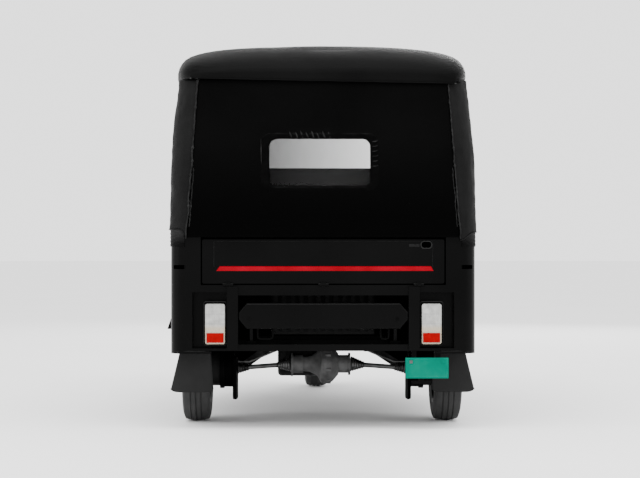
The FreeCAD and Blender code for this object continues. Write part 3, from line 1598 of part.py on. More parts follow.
def bumper_bolts():
    """The round bolt heads on the bumper's face."""
    seat_y = bumper_face_y + bumper_bolt_head - seat_gap
    return pair(rod(V(bumper_bolt_x, seat_y, bumper_bolt_z),
                    V(bumper_bolt_x, bumper_face_y, bumper_bolt_z), bumper_bolt_radius))


def tail_lamp_body():
    """One tail lamp's clear body and the pocket for its red lens."""
    face_y = rear_face_y - lamp_proud
    back_y = rear_face_y + panel_wall + lamp_bay_depth - seat_gap
    corners = [V(x, face_y, z) for x, z in (
        (lamp_inner_x, lamp_bottom_z), (lamp_outer_x, lamp_bottom_z),
        (lamp_outer_x, lamp_top_z), (lamp_inner_x, lamp_top_z))]
    body = rounded_prism(corners, lamp_round, AHEAD * (back_y - face_y))
    face_edges = [e for e in body.Edges if all(abs(v.Y - face_y) < seat_gap for v in e.Vertexes)]
    return body.makeFillet(lamp_round / 2, face_edges)


def red_block(gap):
    """The red lens at the foot of a tail lamp, drawn in by a gap."""
    face_y = rear_face_y - lamp_proud
    bottom = lamp_bottom_z + lamp_red_bottom
    return block((lamp_inner_x + lamp_red_side + gap, lamp_outer_x - lamp_red_side - gap),
                 (face_y - lamp_red_proud, face_y + lamp_red_depth - gap),
                 (bottom + gap, bottom + lamp_red_height - gap))


def tail_lamps():
    """The clear parts of the tail lamps."""
    return pair(tail_lamp_body().cut(red_block(0)))


def tail_lamp_reds():
    """The red lenses at the foot of the tail lamps."""
    return pair(red_block(seat_gap))


def plate_back_y():
    """The back face of the number plate."""
    return rear_face_y + plate_set_in


def plate_holes(depth):
    """The two bolt holes of the number plate."""
    z = plate_centre_z + plate_hole_rise
    return [rod(V(x, rear_face_y - depth, z), V(x, rear_face_y + depth, z), plate_hole_radius)
            for x in (plate_centre_x - plate_hole_spacing / 2,
                      plate_centre_x + plate_hole_spacing / 2)]


def number_plate():
    """The blank number plate."""
    face_y = plate_back_y() - seat_gap - plate_thick
    corners = [V(plate_centre_x + a * plate_width / 2, face_y, plate_centre_z + b * plate_height / 2)
               for a, b in ((-1, -1), (1, -1), (1, 1), (-1, 1))]
    return rounded_prism(corners, plate_corner, AHEAD * plate_thick).cut(plate_holes(panel_wall))


def plate_bracket():
    """The bracket that hangs the number plate under the rear panel."""
    depth = (plate_back_y(), plate_back_y() + bracket_thick)
    top = body_bottom_z - seat_gap
    half, leg_half = bracket_width / 2, bracket_leg_width / 2
    pieces = [block((plate_centre_x - half, plate_centre_x + half), depth,
                    (plate_centre_z - bracket_height / 2, plate_centre_z + bracket_height / 2))]
    for offset in bracket_leg_offsets:
        x = plate_centre_x + offset
        pieces.append(block((x - leg_half, x + leg_half), depth, (plate_centre_z, top)))
        pieces.append(block((x - leg_half, x + leg_half),
                            (plate_back_y(), rear_face_y + panel_wall), (top - bracket_thick, top)))
    bar_x = plate_centre_x + bracket_bar_offset
    bar_top_z = plate_centre_z - bracket_bar_drop
    bar_bottom_z = bar_top_z - bracket_bar_height
    pieces.append(block((bar_x - leg_half, bar_x + leg_half), depth, (bar_bottom_z, plate_centre_z)))
    pieces.append(block((bar_x - bracket_bar_half_width, bar_x + bracket_bar_half_width),
                        depth, (bar_bottom_z, bar_top_z)))
    return fused(pieces).cut(plate_holes(panel_wall))


def mud_flaps():
    """The rubber flaps behind the rear wheels."""
    y = rear_cross_y + cross_width / 2 + seat_gap
    top, bottom = rail_bottom_z + flap_above_rail, axle_z - flap_hang
    corners = [V(body_half_width - inset, y, z) for inset, z in (
        (flap_inner_bottom_inset, bottom), (flap_outer_bottom_inset, bottom),
        (flap_outer_top_inset, top), (flap_inner_top_inset, top))]
    return pair(rounded_prism(corners, flap_corner, AHEAD * flap_thick))


# Seats and partition

def rear_deck():
    """The deck under the rear seat and the luggage, with the seat's front riser."""
    top = block((-side_inner_x, side_inner_x), (rail_back_y, seat_front_y),
                (deck_top_z - deck_sheet, deck_top_z))
    corners = [e for e in top.Edges
               if all(abs(v.Y - rail_back_y) < seat_gap for v in e.Vertexes)
               and abs(e.Vertexes[0].X - e.Vertexes[-1].X) < seat_gap]
    top = top.makeFillet(panel_corner - panel_wall, corners)
    bay = lamp_bay_box(seat_gap)
    riser_y = min(seat_front_y, quarter_edge_y(floor_z))
    riser = block((-side_inner_x, side_inner_x), (riser_y - deck_sheet, riser_y),
                  (rail_top_z + seat_gap, deck_top_z))
    return fused([top.cut([bay, mirrored(bay)]), riser])


def rounded_block(xs, ys, zs, radius):
    """A box with all its edges rounded."""
    solid = block(xs, ys, zs)
    return solid.makeFillet(radius, solid.Edges)


def passenger_seat():
    """The rear seat's cushion."""
    return rounded_block((-seat_half_width, seat_half_width), (seat_back_y, seat_front_y),
                         (deck_top_z + seat_gap, deck_top_z + cushion_thick), cushion_round)


def passenger_backrest():
    """The rear seat's leaning back."""
    low_y = seat_back_y - seat_gap
    low_z = deck_top_z + seat_gap
    corners = [V(-seat_half_width, low_y, low_z),
               V(-seat_half_width, low_y - backrest_lean, backrest_top_z),
               V(-seat_half_width, low_y - backrest_lean - backrest_thick, backrest_top_z),
               V(-seat_half_width, low_y - backrest_thick, low_z)]
    solid = prism(corners, RIGHT * seat_half_width * 2)
    return solid.makeFillet(cushion_round, solid.Edges)


def driver_seat_base():
    """The box under the driver's seat."""
    return block((-driver_base_half_width, driver_base_half_width),
                 (driver_base_back_y, driver_base_front_y),
                 (floor_z + seat_gap, driver_base_top_z))


def driver_seat():
    """The driver's cushion."""
    return rounded_block((-driver_seat_half_width, driver_seat_half_width),
                         (driver_seat_back_y, driver_seat_front_y),
                         (driver_base_top_z + seat_gap, driver_base_top_z + driver_seat_thick),
                         driver_back_round)


def driver_backrest():
    """The driver's back pad on the partition."""
    front = partition_y + partition_wall + seat_gap
    return rounded_block((-driver_back_half_width, driver_back_half_width),
                         (front, front + driver_back_thick),
                         (driver_back_bottom_z, driver_back_top_z), driver_back_round)


def partition():
    """The upright panel behind the driver."""
    low, high, half = floor_z + seat_gap, partition_top_z, partition_half_width
    panel = block((-half, half), (partition_y, partition_y + partition_wall), (low, high))
    top_edges = [e for e in panel.Edges
                 if all(abs(v.Z - high) < seat_gap for v in e.Vertexes)
                 and abs(e.Vertexes[0].X - e.Vertexes[-1].X) < seat_gap]
    return panel.makeFillet(partition_corner, top_edges)


# Cab frame and hood

def hood_points_at(half_width, y, top_z, inset):
    """The roof's section at one place, from the left hem over the top to the right hem."""
    points = []
    for i in range(hood_points):
        turn = math.pi * (i / (hood_points - 1) - 1 / 2)
        across, lift = math.sin(turn), max(math.cos(turn), 0)
        x = (half_width - inset) * math.copysign(abs(across) ** (2 / hood_power_across), across)
        z = hem_z + (top_z - hem_z - inset) * lift ** (2 / hood_power_up)
        points.append(V(x, y, z))
    points[0].z = hem_z
    points[-1].z = hem_z
    return points


def hood_solid(inset):
    """The space under the roof's cloth, its sides set in by inset."""
    wires = []
    last = len(hood_station_ys) - 1
    for k, (y, half, top) in enumerate(zip(hood_station_ys, hood_half_widths, hood_top_zs)):
        at_y = y + inset if k == last else y
        points = hood_points_at(half, at_y, top, inset)
        closing = Part.LineSegment(points[-1], points[0]).toShape()
        wires.append(Part.Wire([smooth_edge(points), closing]))
    return Part.makeLoft(wires, True)


def hood_roof():
    """The fabric roof, open below and at the front."""
    return hood_solid(0).cut(hood_solid(hood_cloth))


def tube_inset(sizes, station):
    """How far a roof tube's middle lies inside the hood where its size changes from here on."""
    steepest = max(abs((sizes[k + 1] - sizes[k]) / (hood_station_ys[k + 1] - hood_station_ys[k]))
                   for k in (station - 1, station))
    return (hood_cloth + roof_tube_radius + tube_gap) * math.hypot(1, steepest)


def rail_point(station):
    """Where the right roof rail passes a station of the hood."""
    half = hood_half_widths[station]
    return V(half - tube_inset(hood_half_widths, station), hood_station_ys[station], roof_rail_z)


def screen_back_y(z):
    """The back of the windscreen frame at a height between its upper levels."""
    share = (z - screen_levels[-2]) / (screen_levels[-1] - screen_levels[-2])
    return screen_back_ys[-2] + (screen_back_ys[-1] - screen_back_ys[-2]) * share


def roof_bow(station):
    """One roof bow, bent to the hood's section from rail to rail."""
    foot = rail_point(station)
    height = hood_top_zs[station] - tube_inset(hood_top_zs, station) - hem_z
    right = []
    for share in bow_x_shares:
        lift = (1 - share ** hood_power_across) ** (1 / hood_power_up)
        right.append(V(foot.x * share, foot.y, hem_z + height * lift))
    right.append(foot)
    left = [V(-p.x, p.y, p.z) for p in reversed(right)]
    return bent_rod(left + [V(0, foot.y, hem_z + height)] + right, roof_tube_radius, roof_bend)


def leaning_post(foot, head):
    """A post from a level seat up to a roof rail."""
    sunk = foot - (head - foot).normalize() * post_tube_radius
    seat = block((-body_half_width, body_half_width), (rear_face_y, half_length), (0, foot.z))
    return rod(sunk, head, post_tube_radius).cut(seat)


def cab_frame():
    """The tubular frame of posts, roof rails and bows, with the guard rails on the right."""
    front_x = screen_half_widths[-1] - screen_wall / 2
    front_y = screen_back_y(roof_rail_z + roof_tube_radius) - seat_gap
    stations = range(1, len(hood_station_ys) - 1)
    rail = bent_rod([V(front_x, front_y, roof_rail_z)] + [rail_point(k) for k in stations],
                    roof_tube_radius, roof_bend)
    pieces = [rail, mirrored(rail)]
    for station in bow_stations:
        pieces.append(roof_bow(station))
    before, after = rail_point(2), rail_point(3)
    front_top = before + (after - before) * ((front_post_y - before.y) / (after.y - before.y))
    rear_top = rail_point(len(hood_station_ys) - 2)
    for foot, head in ((V(front_post_x, front_post_y, sill_top_z + seat_gap), front_top),
                       (V(rear_post_x, rear_top.y, deck_top_z + seat_gap), rear_top)):
        post = leaning_post(foot, head)
        pieces += [post, mirrored(post)]
    for rise in guard_rail_rises:
        z = floor_z + rise
        end_y = quarter_edge_y(z - guard_tube_radius) + seat_gap
        pieces.append(rod(V(guard_rail_x, end_y, z), V(guard_rail_x, front_post_y, z),
                          guard_tube_radius))
    return fused(pieces)


def curtain_outer_y(z):
    """The outer face of the rear curtain at a height."""
    share = (z - curtain_bottom_z) / (hem_z - curtain_bottom_z)
    return curtain_bottom_y + (curtain_top_y - curtain_bottom_y) * share


def curtain_slab(inset, thick):
    """A slab in the leaning plane of the rear curtain."""
    wires = []
    for z, half in ((curtain_bottom_z, curtain_bottom_half_width),
                    (hem_z - seat_gap, curtain_top_half_width)):
        y, edge = curtain_outer_y(z) + inset, half - seat_gap
        wires.append(closed_wire([V(-edge, y, z), V(edge, y, z), V(edge, y + thick, z),
                                  V(-edge, y + thick, z)]))
    return Part.makeLoft(wires, True, True)


def window_prism(gap):
    """The rear window's rounded outline pushed through the curtain."""
    low, high = window_offset_x - window_half_width + gap, window_offset_x + window_half_width - gap
    start_y = bumper_face_y - cut_over
    corners = [V(low, start_y, window_bottom_z + gap), V(high, start_y, window_bottom_z + gap),
               V(high, start_y, window_top_z - gap), V(low, start_y, window_top_z - gap)]
    return rounded_prism(corners, window_corner - gap, AHEAD * half_length)


def rear_curtain():
    """The fabric curtain that closes the back, with its window opening."""
    return curtain_slab(0, curtain_thick).cut(window_prism(0))


def rear_window():
    """The clear film in the curtain's window."""
    return curtain_slab(window_film_inset, window_film).common(window_prism(seat_gap))


def flap_section(z, side_x, corner, back_y, front_y):
    """A side flap's outline in plan at a height."""
    start_x = side_x - corner
    thick = curtain_thick
    centre = V(start_x, back_y + corner, z)
    slant = math.sin(math.radians(FULL_TURN / 8))

    def arc(radius, ends):
        points = [V(centre.x, centre.y - radius, z),
                  V(centre.x + radius * slant, centre.y - radius * slant, z),
                  V(centre.x + radius, centre.y, z)]
        if ends < 0:
            points.reverse()
        return Part.Arc(points[0], points[1], points[2]).toShape()

    inner = corner - thick
    return Part.Wire([
        arc(corner, 1),
        Part.LineSegment(V(side_x, centre.y, z), V(side_x, front_y, z)).toShape(),
        Part.LineSegment(V(side_x, front_y, z), V(side_x - thick, front_y, z)).toShape(),
        Part.LineSegment(V(side_x - thick, front_y, z), V(side_x - thick, centre.y, z)).toShape(),
        arc(inner, -1),
        Part.LineSegment(V(start_x, back_y + thick, z), V(start_x, back_y, z)).toShape(),
    ])


def hood_flaps():
    """The fabric flaps that wrap the rear corners from the curtain to the sides."""
    low = flap_section(curtain_bottom_z, flap_side_bottom_x, flap_corner_bottom,
                       curtain_bottom_y, side_front_bottom_y)
    high = flap_section(hem_z - seat_gap, flap_side_top_x, flap_corner_top,
                        curtain_outer_y(hem_z), side_front_top_y)
    return pair(Part.makeLoft([low, high], True, True))


def brake_pedal():
    """The driver's brake pedal on its bent arm."""
    arm = bent_rod([V(pedal_x, pedal_y + pedal_height, floor_z + seat_gap),
                    V(pedal_x, pedal_y + pedal_height, pedal_z - pedal_height),
                    V(pedal_x, pedal_y + pedal_thick / 2, pedal_z)],
                   pedal_arm_radius, pedal_arm_bend)
    pad = block((pedal_x - pedal_half_width, pedal_x + pedal_half_width),
                (pedal_y, pedal_y + pedal_thick),
                (pedal_z - pedal_height / 2, pedal_z + pedal_height / 2))
    return fused([arm, pad])


def front_wheel_centre():
    """The middle of the front wheel."""
    return V(0, front_axle_y, axle_z)


def rear_wheel_centre(side):
    """The middle of a rear wheel. Side is 1 on the right and -1 on the left."""
    return V(side * rear_wheel_x, rear_axle_y, axle_z)


def front_tyre():
    """The front tyre."""
    return tyre(front_wheel_centre())


def front_rim():
    """The front wheel's rim, hub and drum."""
    return rim(front_wheel_centre(), 1, front_stub_radius, front_drum_radius,
               front_drum_inner_offset)


def rear_tyre_left():
    """The left rear tyre."""
    return tyre(rear_wheel_centre(-1))


def rear_tyre_right():
    """The right rear tyre."""
    return tyre(rear_wheel_centre(1))


def rear_rim_left():
    """The left rear wheel's rim, hub and drum."""
    return rim(rear_wheel_centre(-1), -1, rear_stub_radius, drum_radius, drum_inner_offset)


def rear_rim_right():
    """The right rear wheel's rim, hub and drum."""
    return rim(rear_wheel_centre(1), 1, rear_stub_radius, drum_radius, drum_inner_offset)


NODES = (
    front_apron, wheel_well, windscreen_frame, windscreen_glass, headlamp_pods, headlamp_lenses,
    front_indicators, mirrors, dashboard, floor_pan, side_sills, underframe, battery_pack,
    controller_box, motor, transaxle, drive_shafts, trailing_arms, rear_springs, brake_pipes,
    quarter_panels, wheel_arches, rear_panel, rear_bumper, bumper_bolts, tail_lamps,
    tail_lamp_reds, number_plate, plate_bracket, mud_flaps, rear_deck, passenger_seat,
    passenger_backrest, driver_seat_base, driver_seat, driver_backrest, partition, cab_frame,
    hood_roof, hood_flaps, rear_curtain, rear_window, brake_pedal,
    tailgate, tailgate_latch,
    fork, fork_link, front_spring, front_mudguard, handlebar, handlebar_grips,
    front_tyre, front_rim, rear_tyre_left, rear_rim_left, rear_tyre_right, rear_rim_right,
)

os.makedirs("parts", exist_ok=True)
for make in NODES:
    make().exportStep("parts/" + make.__name__ + ".step")
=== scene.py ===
"""The dressed electric auto rickshaw, seen from behind in a plain studio.

Lengths are in metres in the frame's own axes: X to the vehicle's right, Y forward, Z up.
"""

import json
from functools import cache, partial
from math import atan2, cos, exp, pi, radians, sin, sqrt

import bmesh
import bpy
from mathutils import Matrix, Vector, noise
from mathutils.bvhtree import BVHTree


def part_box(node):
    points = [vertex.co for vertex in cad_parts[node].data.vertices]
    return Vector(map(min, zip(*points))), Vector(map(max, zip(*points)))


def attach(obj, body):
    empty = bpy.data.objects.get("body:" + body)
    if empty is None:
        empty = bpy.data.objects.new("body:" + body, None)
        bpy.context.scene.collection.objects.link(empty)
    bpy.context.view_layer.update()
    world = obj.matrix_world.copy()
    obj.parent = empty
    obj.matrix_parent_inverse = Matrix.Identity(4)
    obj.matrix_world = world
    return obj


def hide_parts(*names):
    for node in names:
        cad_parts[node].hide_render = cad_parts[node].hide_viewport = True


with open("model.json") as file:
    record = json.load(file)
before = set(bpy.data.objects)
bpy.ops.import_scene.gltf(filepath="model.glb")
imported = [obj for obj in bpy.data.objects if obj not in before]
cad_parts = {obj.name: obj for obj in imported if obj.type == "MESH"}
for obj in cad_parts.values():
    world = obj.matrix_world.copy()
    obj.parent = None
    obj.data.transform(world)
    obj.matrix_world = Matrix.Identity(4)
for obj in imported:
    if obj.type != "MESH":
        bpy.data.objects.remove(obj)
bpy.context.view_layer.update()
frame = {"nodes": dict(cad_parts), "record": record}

V = Vector
UP = V((0, 0, 1))
AHEAD = V((0, 1, 0))
RIGHT = V((1, 0, 0))
SIDES = ((-1, "left"), (1, "right"))

# Photograph's viewpoint
camera_place = V((-0.14, -9.585, 0.85))
camera_yaw_deg = 0.874
camera_pitch_deg = -0.03
camera_lens = 104.7
camera_sensor = 36

# Where the rays start that find the frame's surfaces
roof_ray = 1.5
flap_ray = 0.4
edge_ray = 0.5
rear_ray_y = -3
front_ray_y = 2

# Roof
bow_ys = (0.42, 0.08, -0.36, -0.76, -1.01, -1.24)
roof_front_y = 0.712
roof_back_y = -1.292
roof_turn_deg = 89.6
hem_z = 1.56
hem_left_z = 1.559
hem_right_z = 1.537
hem_wave = 0.0015
cloth_thick = 0.003
cloth_gap = 0.001
roof_sag = 0.007
roof_sag_reach = 0.14
roof_crease = 0.003
roof_crease_size = 0.09
roof_draw = 0.006
hem_back = 0.004
left_shoulder_draw = 0.004
left_shoulder_turn = -0.95
left_shoulder_spread = 0.35
skirt_left = 0.004
skirt_right = 0.016
skirt_foot = 0.002
skirt_out = 0.0025
skirt_start_y = -0.62
skirt_reach = 0.3
piping_radius = 0.0032
hem_line_radius = 0.0022
hem_end_x = 0.56
hem_end_radius = 0.0048
hem_end_lift = -0.002

# Curtain and its window
curtain_foot_y = -1.400
curtain_head_y = -1.284
curtain_foot_z = 0.853
curtain_foot_half = 0.602
curtain_head_half = 0.556
curtain_crease = 0.0035
seam_pucker = 0.0016
seam_radius = 0.0048
seam_wave = 0.004
seam_back = 0.0015
seam_lines = ((0.002, curtain_foot_z - 0.006, hem_z - 0.008), (-0.009, 0.90, 1.16))
window_x = -0.015
window_half = 0.223
window_left_x = window_x - window_half
window_right_x = window_x + window_half
window_low_z = 1.080
window_high_z = 1.289
window_corner = 0.034
window_half_z = (window_high_z - window_low_z) / 2
window_centre = V((window_x, 0, window_low_z + window_half_z))
pane_back = 0.006
pane_wave = 0.002
pane_thick = 0.0006
welt_side = 0.045
welt_top = 0.031
welt_foot = 0.022
welt_lift = 0.0035
welt_crumple = 0.0016
pleat_low_x = -0.15
pleat_high_x = 0.045
pleat_pitch = 0.039
pleat_depth = 0.006
pleat_radius = 0.0032
pleat_lean = 0.012
pucker_low_z = 1.155
pucker_high_z = 1.285
pucker_pitch = 0.022
tuck_length = 0.026
tuck_gap = 0.010
tuck_rise = 0.006
tuck_radius = 0.0022

# Flaps and the bands under them
flap_corner = 0.09
flap_turns = 1.9
flap_front_foot_y = -0.80
flap_front_head_y = -0.64
flap_foot_z = {-1: 0.886, 1: 0.875}
flap_foot_dip = {-1: 0.028, 1: 0.038}
flap_dip_share = {-1: 0.06, 1: 0.17}
flap_bulge = 0.011
flap_bulge_low_z = 0.93
flap_bulge_high_z = 1.53
flap_slack = 0.003
flap_ripple = 0.002
flap_hem_wave = 0.0015
band_low_z = 0.812
band_tuck = 0.008
band_corner_share = 0.625
band_corner_out = 0.006
band_start_y = -1.31
band_end_y = -0.83
band_far = 0.07
band_gap = 0.0012
band_thick = 0.001
band_ripple = 0.0016
band_ripple_pitch = 0.017

# Seats
cushion_shrink = 0.985
cushion_over = 0.003
channel_depth = 0.011
channel_width = 0.012

# Tailgate, stripe and latch
stripe_low_z = 0.705
stripe_high_z = 0.7255
stripe_left_x = -0.472
stripe_right_x = 0.486
stripe_slant = 0.016
stripe_thick = 0.0012
field_half = 0.482
field_low_z = 0.728
field_high_z = 0.836
bead_radius = 0.0014
latch_rim_left = 0.008
latch_rim_right = 0.006
latch_rim_radius = 0.0026
tab_gap = 0.014
tab_length = 0.048
tab_low = 0.006
tab_high = 0.020
tab_proud = 0.002
tab_thick = 0.003
tab_corner = 0.004
tab_rib_count = 9
tab_rib_inset = 0.005
tab_rib_radius = 0.0011

# Slots and lower edges of the body
slot_low_z = 0.7135
slot_high_z = 0.7305
slot_inner_x = 0.614
slot_outer_x = 0.660
edge_foot_z = 0.340
edge_inner_x = 0.493
edge_thick = 0.005
corner_foot_x = 0.580
corner_foot_y = -1.296
hook_y = -1.266
hook_width = 0.022
hook_z = 0.444
hook_height = 0.058
hook_proud = 0.020
hook_root = 0.004

# Motor, gear casing and arm blades
case_radius = 0.088
case_foot_gap = 0.006
case_left_inset = 0.154
case_right_inset = 0.056
case_neck = 0.036
case_bell = ((0, 0.42), (0.26, 0.62), (0.4, 1), (0.5, 1), (0.5, 1.07), (0.57, 1.07), (0.57, 1), (0.68, 1),
             (0.8, 0.92), (1, 0.56))
case_bolt_count = 8
case_bolt_radius = 0.008
case_bolt_length = 0.028
case_pad_half = 0.038
case_pad_depth = 0.032
cup_length = 0.046
flange_radius = 0.052
flange_width = 0.010
outlet_radius = 0.042
nose_radius = 0.034
motor_radius = 0.092
motor_round = 0.018
motor_seams = (0.062, 0.150)
motor_seam_width = 0.008
motor_seam_proud = 0.003
blade_half = 0.030
blade_turn_deg = 17
blade_back = 0.066
blade_low_z = 0.104
blade_high_z = 0.299
blade_thick = 0.008
blade_inset = 0.063
blade_corner = 0.013

# Tail lamps, brake drums and the loops under the bumper
lamp_line_shares = (0.30, 0.62)
lamp_line_inset = 0.006
lamp_line_radius = 0.0009
gasket_out = 0.0025
gasket_radius = 0.0022
gasket_corner = 0.011
gasket_back = 0.016
lens_corner = 0.010
gasket_lip_out = 0.002
gasket_over = 0.004
gasket_over_top = 0.006
gasket_over_foot = 0.001
lip_back = 0.014
lip_over = 0.006
lip_inner = 0.089
lip_outer = 0.0965
lip_wall = 0.003
loop_ends = {"left": (-0.290, -0.222), "right": (0.253, 0.289)}
loop_y = -1.372
loop_top_z = 0.452
loop_foot_z = 0.405
loop_bend = 0.012
loop_radius = 0.005

# Number plate and mud flaps
plate_hole_spacing = 0.14
plate_hole_drop = 0.025
plate_bolt_size = 0.014
plate_bolt_proud = 0.004
plate_trim = 0.007
plate_thick = 0.0012
plate_rim = 0.0016
plate_rim_inset = 0.004
plate_rim_width = 0.0022
plate_spring = 0.006
flap_stretch = 0.005
mud_flap_foot_xs = (0.490, 0.686)
mud_flap_head_xs = (0.506, 0.637)
mud_flap_bulge = 0.006
mud_flap_thick = 0.005
mud_flap_set_in = 0.003
mud_flap_curl = 0.010
mud_flap_sway = 0.003
mud_flap_corner_rise = 0.016

# Windscreen, wiper and mirrors
screen_low_z = 1.112
screen_high_z = 1.588
screen_foot_half = 0.502
screen_head_half = 0.452
screen_gasket_radius = 0.008
screen_gasket_out = 0.004
wiper_path = ((0.0, 1.085), (-0.03, 1.12), (-0.10, 1.145), (-0.15, 1.150))
wiper_lowest_z = 1.13
wiper_arm_out = 0.022
wiper_arm_radius = 0.004
wiper_blade_out = 0.010
wiper_blade_radius = 0.005
wiper_blade_ends = (V((-0.33, 0, 1.152)), V((0.03, 0, 1.140)))
mirror_inset = 0.046
mirror_half = 0.039
mirror_foot_drop = 0.157
mirror_top_drop = 0.007
mirror_corner = 0.02
mirror_face_y = 0.798
mirror_thick = 0.002

# Headlamps
reflector_inset = 0.080
reflector_radius = 0.074
reflector_depth = 0.042
reflector_back = 0.050
bulb_out = 0.010
bulb_cap = ((0, 0), (0, 0.016), (0.014, 0.014), (0.02, 0.006), (0.022, 0))
flute_count = 9
flute_back = 0.020
flute_radius = 0.0011

# Cab
mats = {"front": (0.50, 0.70, 0.44), "rear": (-0.46, -0.06, 0.56)}
mat_corner = 0.03
mat_thick = 0.004
mat_rib_start = 0.04
mat_rib_pitch = 0.05
mat_rib_inset = 0.02
mat_rib_radius = 0.002
dial_place = V((0, 0.9035, 0.955))
dial_ring = ((0, 0.034), (0, 0.044), (0.006, 0.044), (0.009, 0.040), (0.009, 0.034))
dial_face = ((0, 0), (0, 0.036), (0.003, 0.035), (0.003, 0))
lever_pivot_from_grip = V((-0.14, 0.09, -0.035))
lever_tip_from_grip = V((-0.012, 0.035, -0.02))
clamp_from_pivot = V((-0.012, -0.016, -0.012))
lever_bow = 0.035
lever_radius = 0.005
clamp_length = 0.03
clamp_radius = 0.02

# Studio: each light's name, place, aim, width, height and power
floor_radius = 60
floor_steps = 96
sky_strength = 2.2
lights = (("top_light", V((0, -3.5, 6.5)), V((0, -0.6, 1.2)), 5, 3, 420),
          ("left_light", V((-7, -3, 3)), V((0, -0.5, 1)), 2.5, 3.5, 220),
          ("right_light", V((7, -3, 3)), V((0, -0.5, 1)), 2.5, 3.5, 190),
          ("front_light", V((1.5, 8, 3.5)), V((0, 0.8, 1)), 4, 3, 260))


# Materials

def new_material(name):
    """A node material and its parts."""
    material = bpy.data.materials.new(name)
    material.use_nodes = True
    tree = material.node_tree
    return material, tree, tree.nodes["Principled BSDF"]


def colour_of(value):
    """A colour from its three parts or from one grey."""
    return (*value, 1) if isinstance(value, tuple) else (value, value, value, 1)


def coordinates(tree, scale=(1, 1, 1)):
    """Object coordinates, stretched."""
    source = tree.nodes.new("ShaderNodeTexCoord")
    mapping = tree.nodes.new("ShaderNodeMapping")
    mapping.inputs["Scale"].default_value = scale
    tree.links.new(source.outputs["Object"], mapping.inputs["Vector"])
    return mapping.outputs["Vector"]


def pattern(tree, kind, scale, stretch=(1, 1, 1)):
    """The grey pattern of one texture node."""
    names = {"noise": "ShaderNodeTexNoise", "cells": "ShaderNodeTexVoronoi",
             "waves": "ShaderNodeTexWave"}
    node = tree.nodes.new(names[kind])
    node.inputs["Scale"].default_value = scale
    if kind == "noise":
        node.inputs["Detail"].default_value = 6
    tree.links.new(coordinates(tree, stretch), node.inputs["Vector"])
    return node.outputs["Distance"] if kind == "cells" else node.outputs[0 if kind == "noise" else 1]


def stops(tree, source, low, high, start=0.3, end=0.7):
    """A colour that goes from low to high with a grey pattern."""
    ramp = tree.nodes.new("ShaderNodeValToRGB")
    first, last = ramp.color_ramp.elements
    first.position, last.position = start, end
    first.color, last.color = colour_of(low), colour_of(high)
    tree.links.new(source, ramp.inputs["Fac"])
    return ramp.outputs["Color"]


def mapped(tree, source, start, end, low=0, high=1):
    """A number that goes from low to high while its source goes from start to end."""
    node = tree.nodes.new("ShaderNodeMapRange")
    for socket, value in (("From Min", start), ("From Max", end), ("To Min", low), ("To Max", high)):
        node.inputs[socket].default_value = value
    tree.links.new(source, node.inputs["Value"])
    return node.outputs["Result"]


def along_axis(tree, axis, start, end):
    """A number from 0 at start to 1 at end of one axis."""
    axes = tree.nodes.new("ShaderNodeSeparateXYZ")
    tree.links.new(coordinates(tree), axes.inputs["Vector"])
    return mapped(tree, axes.outputs[axis], start, end)


def add_bump(tree, shader, source, depth):
    """Relief from a grey pattern, on top of the relief that is there."""
    bump = tree.nodes.new("ShaderNodeBump")
    bump.inputs["Distance"].default_value = depth
    bump.inputs["Strength"].default_value = 1
    tree.links.new(source, bump.inputs["Height"])
    before = shader.inputs["Normal"].links
    if before:
        tree.links.new(before[0].from_socket, bump.inputs["Normal"])
    tree.links.new(bump.outputs["Normal"], shader.inputs["Normal"])


def finish_of(name, low, high, rough, patch, specular, *reliefs, metallic=0):
    """A finish whose colour and roughness vary in patches, with fine relief."""
    material, tree, shader = new_material(name)
    shader.inputs["Metallic"].default_value = metallic
    shader.inputs["Specular IOR Level"].default_value = specular
    patches = pattern(tree, "noise", patch)
    tree.links.new(stops(tree, patches, low, high), shader.inputs["Base Color"])
    tree.links.new(mapped(tree, patches, 0.3, 0.7, *rough), shader.inputs["Roughness"])
    for kind, scale, depth in reliefs:
        add_bump(tree, shader, pattern(tree, kind, scale), depth)
    return material


def fade_colour(material, axis, start, end, colour):
    """Blends a finish's colour toward another one along an axis."""
    tree = material.node_tree
    base = tree.nodes["Principled BSDF"].inputs["Base Color"]
    mix = tree.nodes.new("ShaderNodeMix")
    mix.data_type = "RGBA"
    tree.links.new(base.links[0].from_socket, mix.inputs["A"])
    mix.inputs["B"].default_value = colour_of(colour)
    tree.links.new(along_axis(tree, axis, start, end), mix.inputs["Factor"])
    tree.links.new(mix.outputs["Result"], base)
    return material


def clear_glass():
    """Dark-tinted clear glass."""
    material, tree, shader = new_material("clear_glass")
    shader.inputs["Base Color"].default_value = (0.10, 0.13, 0.125, 1)
    shader.inputs["Roughness"].default_value = 0.03
    shader.inputs["Alpha"].default_value = 0.16
    add_bump(tree, shader, pattern(tree, "noise", 5), 0.002)
    return material


def window_film():
    """Clear film, darker and less see-through toward its left end: painted shade across the window."""
    material, tree, shader = new_material("window_film")
    shader.inputs["Roughness"].default_value = 0.14
    shader.inputs["Specular IOR Level"].default_value = 0.08
    fade = along_axis(tree, "X", window_left_x, window_right_x)
    tree.links.new(stops(tree, fade, 0.0015, 0.03, 0, 1), shader.inputs["Base Color"])
    tree.links.new(mapped(tree, fade, 0, 1, 0.6, 0.1), shader.inputs["Alpha"])
    add_bump(tree, shader, pattern(tree, "noise", 9, (1, 1, 3)), 0.004)
    return material


def ribbed(name, low, high, rough, pitch_scale, specular=0.4):
    """Moulded lamp plastic with fine upright ribs."""
    material, tree, shader = new_material(name)
    shader.inputs["Specular IOR Level"].default_value = specular
    patches = pattern(tree, "noise", 30)
    tree.links.new(stops(tree, patches, low, high), shader.inputs["Base Color"])
    shader.inputs["Roughness"].default_value = rough
    add_bump(tree, shader, pattern(tree, "waves", pitch_scale), 0.0012)
    add_bump(tree, shader, pattern(tree, "waves", pitch_scale, (0, 0, 1)), 0.0008)
    return material


vinyl_grain = ("cells", 420, 0.0005)

